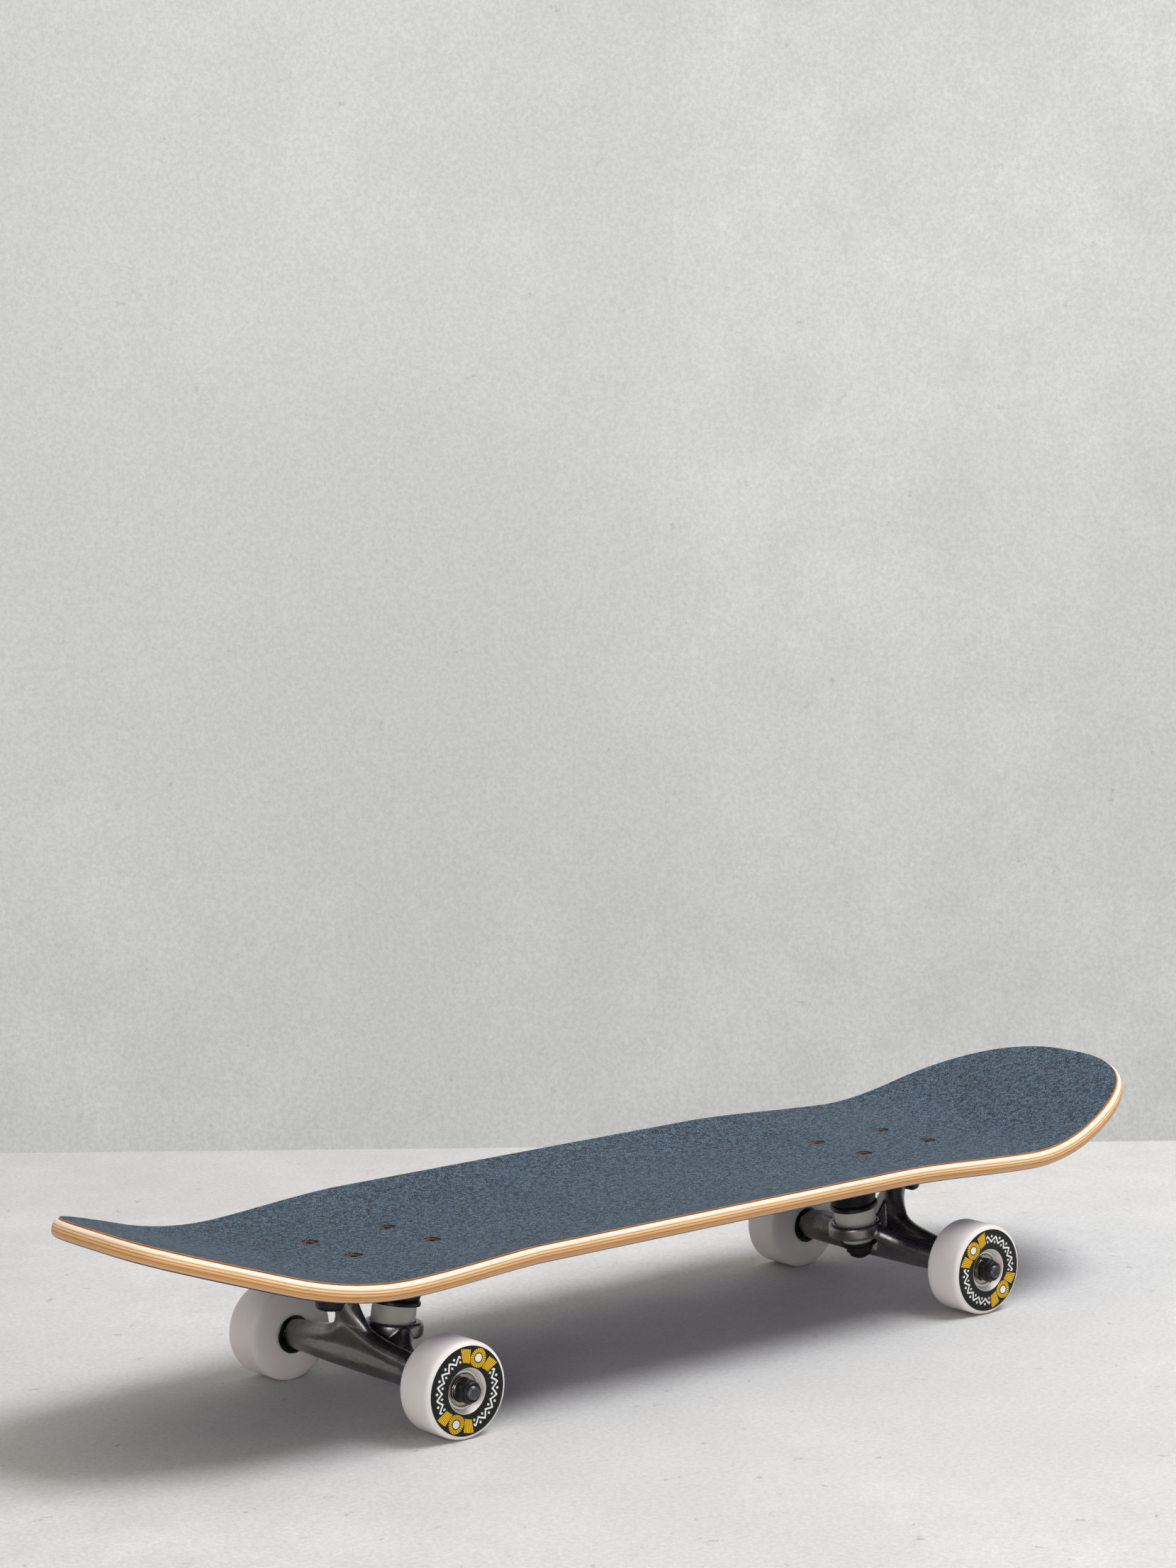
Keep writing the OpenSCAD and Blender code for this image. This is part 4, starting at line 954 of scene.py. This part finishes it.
for truck in TRUCKS:
    body = f"{truck}_hanger_body"
    axle, nuts, washers = bmesh.new(), bmesh.new(), bmesh.new()
    for side in SIDES:
        hub = axle_frame(truck, side)
        tip = AXLE_HALF - WHEEL_MID
        threaded_end(axle, AXLE_R, THREAD_PITCH, tip - THREAD_LONG, tip, hub)
        rod, low, high = AXLE_R - 0.02 * MM, -WHEEL_MID, tip - THREAD_LONG - 0.1 * MM
        turned(axle, [(0, low), (rod, low), (rod, high), (0, high)], hub, closed=False)
        lock_nut(nuts, NUT_FLATS, NUT_H, AXLE_R - 0.4 * MM, hub @ raised(WASHER_AT + WASHER_T))
        flat_washer(washers, WASHER_R, AXLE_R, WASHER_AT, WASHER_T, hub)
        flat_washer(washers, WASHER_R, AXLE_R, -WASHER_AT - WASHER_T, WASHER_T, hub)
    finish_piece(f"{truck}_threaded_axle", axle, body, oiled_steel, f"{truck}_axle")
    black_part(truck, "lock_nuts", nuts, "axle_nuts", body, sharp=24)
    black_part(truck, "flat_washers", washers, "speed_washers", body)
print("axles:", len(TRUCKS), "with a nut and two washers at each end")

# %% [markdown]
# ## Bearings
# A bearing is two rings with balls between them, closed by pressed shields. From outside it reads by
# its small steps: the bevelled rim of each ring, the shield's stamped groove, and the spring ring
# that holds it in. All are turned profiles, written for one bearing and placed in both seats. The
# bearing on the hanger's side sits deep in the shade, so it gets darker steel as painted shade.

# %% Draw the bearing's rings and shields
BEARING_W = 7 * MM
RACE_OUT, RACE_IN, HUB_R, HUB_OUT = 11 * MM, 9.2 * MM, 3.97 * MM, 6.02 * MM
BALL_PITCH_R, GROOVE_R = 7.6 * MM, 2.04 * MM
WIRE_R, WIRE_TURN = 0.13 * MM, math.radians(338)


def ring_profile(wall, shoulder, grooved_side):
    """A ring between two radii with bevelled rims and a ball groove on one wall."""
    low, high = min(wall, shoulder), max(wall, shoulder)
    bevel = 0.35 * MM
    loop = [(low, bevel), (low + bevel, 0), (high - bevel, 0), (high, bevel), (high, BEARING_W - bevel),
            (high - bevel, BEARING_W), (low + bevel, BEARING_W), (low, BEARING_W - bevel)]
    half = math.sqrt(GROOVE_R ** 2 - (grooved_side - BALL_PITCH_R) ** 2)
    sign = 1 if grooved_side > BALL_PITCH_R else -1
    groove = [(BALL_PITCH_R + sign * math.sqrt(GROOVE_R ** 2 - v ** 2), BEARING_W / 2 + v)
              for v in (half - 2 * half * k / 6 for k in range(7))]
    return loop + groove if sign > 0 else loop[:4] + groove[::-1] + loop[4:]


def shield_profile():
    return in_metres([
        (6.34, -0.6), (6.34, -0.32), (6.5, -0.2), (7.15, -0.2), (7.3, -0.34), (8.35, -0.34), (8.5, -0.2),
        (8.8, -0.2), (9.0, -0.3), (9.2, -0.3), (9.2, -0.6),
    ])


def snap_ring(bm, onto):
    """The spring wire that holds a shield, with its gap."""
    start = Matrix.Translation((9.04 * MM, 0, -0.14 * MM)) @ Matrix.Rotation(math.pi / 2, 4, "X")
    wire = bmesh.ops.create_circle(bm, segments=8, radius=WIRE_R, matrix=start)["verts"]
    edges = list({edge for vert in wire for edge in vert.link_edges})
    made = swept(bm, wire, edges, 56, angle=WIRE_TURN)
    open_ends = {edge for vert in made for edge in vert.link_edges if edge.is_boundary}
    bmesh.ops.holes_fill(bm, edges=list(open_ends), sides=8)
    bmesh.ops.transform(bm, matrix=onto, verts=made)


outer_ring = ring_profile(RACE_IN, RACE_OUT, RACE_IN)
inner_ring = ring_profile(HUB_R, HUB_OUT, HUB_OUT)
print("outer ring:", len(outer_ring), "points; shield:", len(shield_profile()))

# %% [markdown]
# The outer rings and the shields turn with the wheel, while the inner rings stay on the axle, so the
# pieces are sorted by what they ride on and not by bearing.

# %% Turn two bearings for each wheel
SEATS = (CORE_EDGE * MM, -CORE_EDGE * MM - BEARING_W)

for truck in TRUCKS:
    inner_rings = bmesh.new()
    for side in SIDES:
        hub = axle_frame(truck, side)
        outer_rings, shields = bmesh.new(), bmesh.new()
        for seat in SEATS:
            place = hub @ raised(seat)
            turned(outer_rings, outer_ring, place, steps=96)
            turned(inner_rings, inner_ring, place, steps=72)
            for level, facing in ((BEARING_W, UPRIGHT), (0, FLIPPED)):
                face_plane = place @ raised(level) @ facing
                turned(shields, shield_profile(), face_plane, steps=96)
                snap_ring(shields, face_plane)
        wheel = f"{truck}_{side}"
        rings = finish_piece(f"{wheel}_outer_rings", outer_rings, f"{wheel}_wheel_body",
                             ground_steel, f"{wheel}_bearing_outer_races", sharp=28)
        caps = finish_piece(f"{wheel}_pressed_shields", shields, f"{wheel}_wheel_body",
                            pressed_shield, f"{wheel}_bearing_shields", sharp=40)
        # painted shade: faces on the hanger's side of the wheel take the darker steel
        for piece in (rings, caps):
            piece.data.materials.append(painted_shade_steel)
            for face in piece.data.polygons:
                face.material_index = int((hub.inverted() @ face.center).z < 0)
        cover(nodes[f"{wheel}_bearing_balls"], ground_steel)
    finish_piece(f"{truck}_inner_rings", inner_rings, f"{truck}_hanger_body",
                 ground_steel, f"{truck}_bearing_inner_races", sharp=28)
    cover(nodes[f"{truck}_bearing_spacers"], ground_steel)
print("bearings:", len(TRUCKS) * len(SIDES) * len(SEATS))

# %% [markdown]
# ## The kingpin stack
# Along the kingpin, from the baseplate down, come a cup washer, the barrel bushing, the hanger's
# ring, the cone bushing, a second cup washer and the lock nut. The bushings are cast urethane, so
# they bulge a little under load and their rims are soft. When the truck steers, one end of each
# bushing stays with its washer and the other goes with the ring; here each is one fixed piece.

# %% Mix the soft finishes
def cast_rubber(name, low, high, rough, scatter):
    material, tree, shader, marks, tone = start_marked(
        name, 1700.0, 110.0, low, high, Specular_IOR_Level=0.4,
        Subsurface_Weight=scatter, Subsurface_Scale=0.003)
    tone = blend_colours(tree, times(tree, marks["Specks"], 0.2), tone, low)
    feed_all(tree, shader, Base_Color=tone, Normal=relief(tree, marks["Grain"], 0.00006, 0.5),
             Roughness=between(tree, marks["Grain"], 0.3, 0.7, rough - 0.06, rough + 0.08))
    return material


bushing_urethane = cast_rubber("bushing urethane", "#DCD9CE", "#E9E6DC", 0.42, 0.1)
pivot_rubber = cast_rubber("pivot cup rubber", "#151517", "#212124", 0.5, 0.0)
print("soft finishes:", bushing_urethane.name, "and", pivot_rubber.name)

# %% [markdown]
# Both bushings are turned from a bulging line and set along the kingpin.

# %% Draw the bushings
BARREL_SEAT, BARREL_TOP, CONE_SEAT, CONE_BOTTOM, BUSHING_BORE = 1.7, 15.0, -2.3, -9.1, 4.95


def barrel_profile():
    line = [(BUSHING_BORE, BARREL_SEAT), (11.9, BARREL_SEAT), (12.25, 1.85), (12.4, 2.2)]
    line += curve_points((12.45, 3.2), (12.75, 6.5), (12.75, 10.2), (12.45, 13.4), 10)
    line += [(12.4, 14.5), (12.25, 14.85), (11.9, BARREL_TOP), (BUSHING_BORE, BARREL_TOP)]
    return in_metres(line)


def cone_profile():
    line = [(BUSHING_BORE, CONE_BOTTOM), (9.1, CONE_BOTTOM), (9.4, -9.0), (9.55, -8.75)]
    line += curve_points((9.75, -7.9), (10.4, -6.9), (10.95, -5.8), (11.0, -4.5), 8)
    line += [(11.0, -2.75), (10.85, -2.4), (10.5, CONE_SEAT), (BUSHING_BORE, CONE_SEAT)]
    return in_metres(line)


def turn_bushings(truck, pin):
    """Turn a truck's two bushings along its kingpin."""
    for name, profile, node, fixed, seated in (
        ("barrel", barrel_profile(), "boardside_bushing", BARREL_TOP - 0.8, BARREL_SEAT + 1.5),
        ("cone", cone_profile(), "roadside_bushing", CONE_BOTTOM + 0.8, CONE_SEAT - 1.0),
    ):
        shape = bmesh.new()
        turned(shape, profile, pin, steps=96)
        bushing = finish_piece(f"{truck}_{name}_bushing", shape, None,
                               bushing_urethane, f"{truck}_{node}", sharp=60)
        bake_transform(bushing)


print("bushing profiles:", len(barrel_profile()), "and", len(cone_profile()), "points")

# %% [markdown]
# The steel round them is turned along the same line: two dished cups that hold the bushings' rims, a
# nut below, and a pin whose hexagon head hides inside the baseplate.

# %% Turn the kingpin stacks
CUP_T, KING_R, KING_NUT_FLATS, KING_NUT_H = 1.6 * MM, 4.75 * MM, 14.3 * MM, 7.2 * MM
CUP_TOP, CUP_FOOT = BARREL_TOP * MM, CONE_BOTTOM * MM
KING_LOW = CUP_FOOT - CUP_T - KING_NUT_H - 1.2 * MM
KING_THREAD = 13 * MM
HEAD_LOW, HEAD_HIGH, HEAD_FLATS = 34.52 * MM, 40.5 * MM, 13.6 * MM


def cup_profile(rim, depth):
    """A dished washer: its rim turns down over a bushing's edge; height 0 is the flat's underside."""
    outer = rim + CUP_T
    return [
        (KING_R, 0), (rim - 0.3 * MM, 0), (rim, -0.3 * MM), (rim, -depth + 0.1 * MM),
        (rim + 0.15 * MM, -depth), (outer - 0.35 * MM, -depth), (outer, -depth + 0.35 * MM),
        (outer, 0.5 * MM), (outer - 0.3 * MM, 1.1 * MM), (outer - 0.9 * MM, CUP_T), (KING_R, CUP_T),
    ]


for truck in TRUCKS:
    pin = kingpin_frame(truck)
    turn_bushings(truck, pin)
    upper, lower, nut, bolt = bmesh.new(), bmesh.new(), bmesh.new(), bmesh.new()
    turned(upper, cup_profile(13.0 * MM, 1.4 * MM), pin @ raised(CUP_TOP), steps=96)
    turned(lower, cup_profile(10.23 * MM, 1.3 * MM), pin @ raised(CUP_FOOT) @ FLIPPED, steps=96)
    lock_nut(nut, KING_NUT_FLATS, KING_NUT_H, KING_R - 0.4 * MM, pin @ raised(CUP_FOOT - CUP_T) @ FLIPPED)
    threaded_end(bolt, KING_R, THREAD_PITCH, -KING_LOW - KING_THREAD, -KING_LOW, pin @ FLIPPED)
    rod, rod_low = KING_R - 0.03 * MM, KING_LOW + KING_THREAD - 0.2 * MM
    turned(bolt, [(0, rod_low), (rod, rod_low), (rod, HEAD_LOW), (0, HEAD_LOW)], pin, closed=False)
    head = turned(bolt, [(0, HEAD_LOW), (7.2 * MM, HEAD_LOW), (7.6 * MM, HEAD_LOW + 0.4 * MM),
                         (7.6 * MM, HEAD_HIGH - 0.5 * MM), (7.0 * MM, HEAD_HIGH), (0, HEAD_HIGH)],
                  UPRIGHT, closed=False)
    onto_flats(head, HEAD_FLATS)
    bmesh.ops.transform(bolt, matrix=pin, verts=head)
    black_part(truck, "upper_cup", upper, "boardside_washer")
    black_part(truck, "lower_cup", lower, "roadside_washer")
    black_part(truck, "king_nut", nut, "kingpin_nut", sharp=24)
    finish_piece(f"{truck}_king_bolt", bolt, "board", oiled_steel, f"{truck}_kingpin")
    cover(nodes[f"{truck}_pivot_cup"], pivot_rubber)
print("kingpin stacks:", len(TRUCKS))

# %% [markdown]
# ## Mounting bolts
# Four flat-headed bolts hold each truck. Their heads are drawn down into the deck through the tape,
# so each shows as a small dark dish with a six-sided socket for the key. Below the baseplate the
# thread sticks out past its lock nut.

# %% Make the mounting bolts and nuts
BOLT_R, HEAD_R, BOLT_LONG, BOLT_PITCH = 2.4 * MM, 4.8 * MM, 25.4 * MM, 0.8 * MM
SHANK, SOCKET_R, SOCKET_DEEP, SOCKET_FLATS = 14 * MM, 2.35 * MM, 2.1 * MM, 3.6 * MM
SMALL_FLATS, SMALL_NUT_H = 8.7 * MM, 5 * MM
BOLT_PLACES = [(x * 26.99 * MM, y * 20.64 * MM) for x in (-1, 1) for y in (-1, 1)]
head_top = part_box("front_mounting_bolts")[1].z
nut_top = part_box("front_mounting_nuts")[1].z


def bolt_profile():
    """A socket, a countersunk head and a plain shank, down from height 0."""
    line = in_metres([(0, -2.0), (1.9, -2.0), (2.3, -0.12), (2.4, -0.02), (4.3, 0), (4.62, -0.08)])
    return line + [(HEAD_R, -0.3 * MM), (BOLT_R, -2.6 * MM), (BOLT_R - 0.02 * MM, -SHANK), (0, -SHANK)]


for truck in TRUCKS:
    bolts, nuts = bmesh.new(), bmesh.new()
    for x, y in BOLT_PLACES:
        post = bolts_frame(truck) @ Matrix.Translation((x, y, 0))
        top = post @ raised(head_top)
        head = turned(bolts, bolt_profile(), UPRIGHT, steps=60, closed=False)
        socket = [v for v in head if off_axis(v.co) < SOCKET_R and v.co.z > -SOCKET_DEEP]
        onto_flats(socket, SOCKET_FLATS)
        bmesh.ops.transform(bolts, matrix=top, verts=head)
        threaded_end(bolts, BOLT_R, BOLT_PITCH, SHANK - 0.2 * MM, BOLT_LONG, top @ FLIPPED, steps=28)
        lock_nut(nuts, SMALL_FLATS, SMALL_NUT_H, BOLT_R - 0.3 * MM, post @ raised(nut_top) @ FLIPPED)
    black_part(truck, "deck_bolts", bolts, "mounting_bolts")
    black_part(truck, "deck_nuts", nuts, "mounting_nuts", sharp=24)
print("mounting bolts:", len(BOLT_PLACES) * len(TRUCKS))
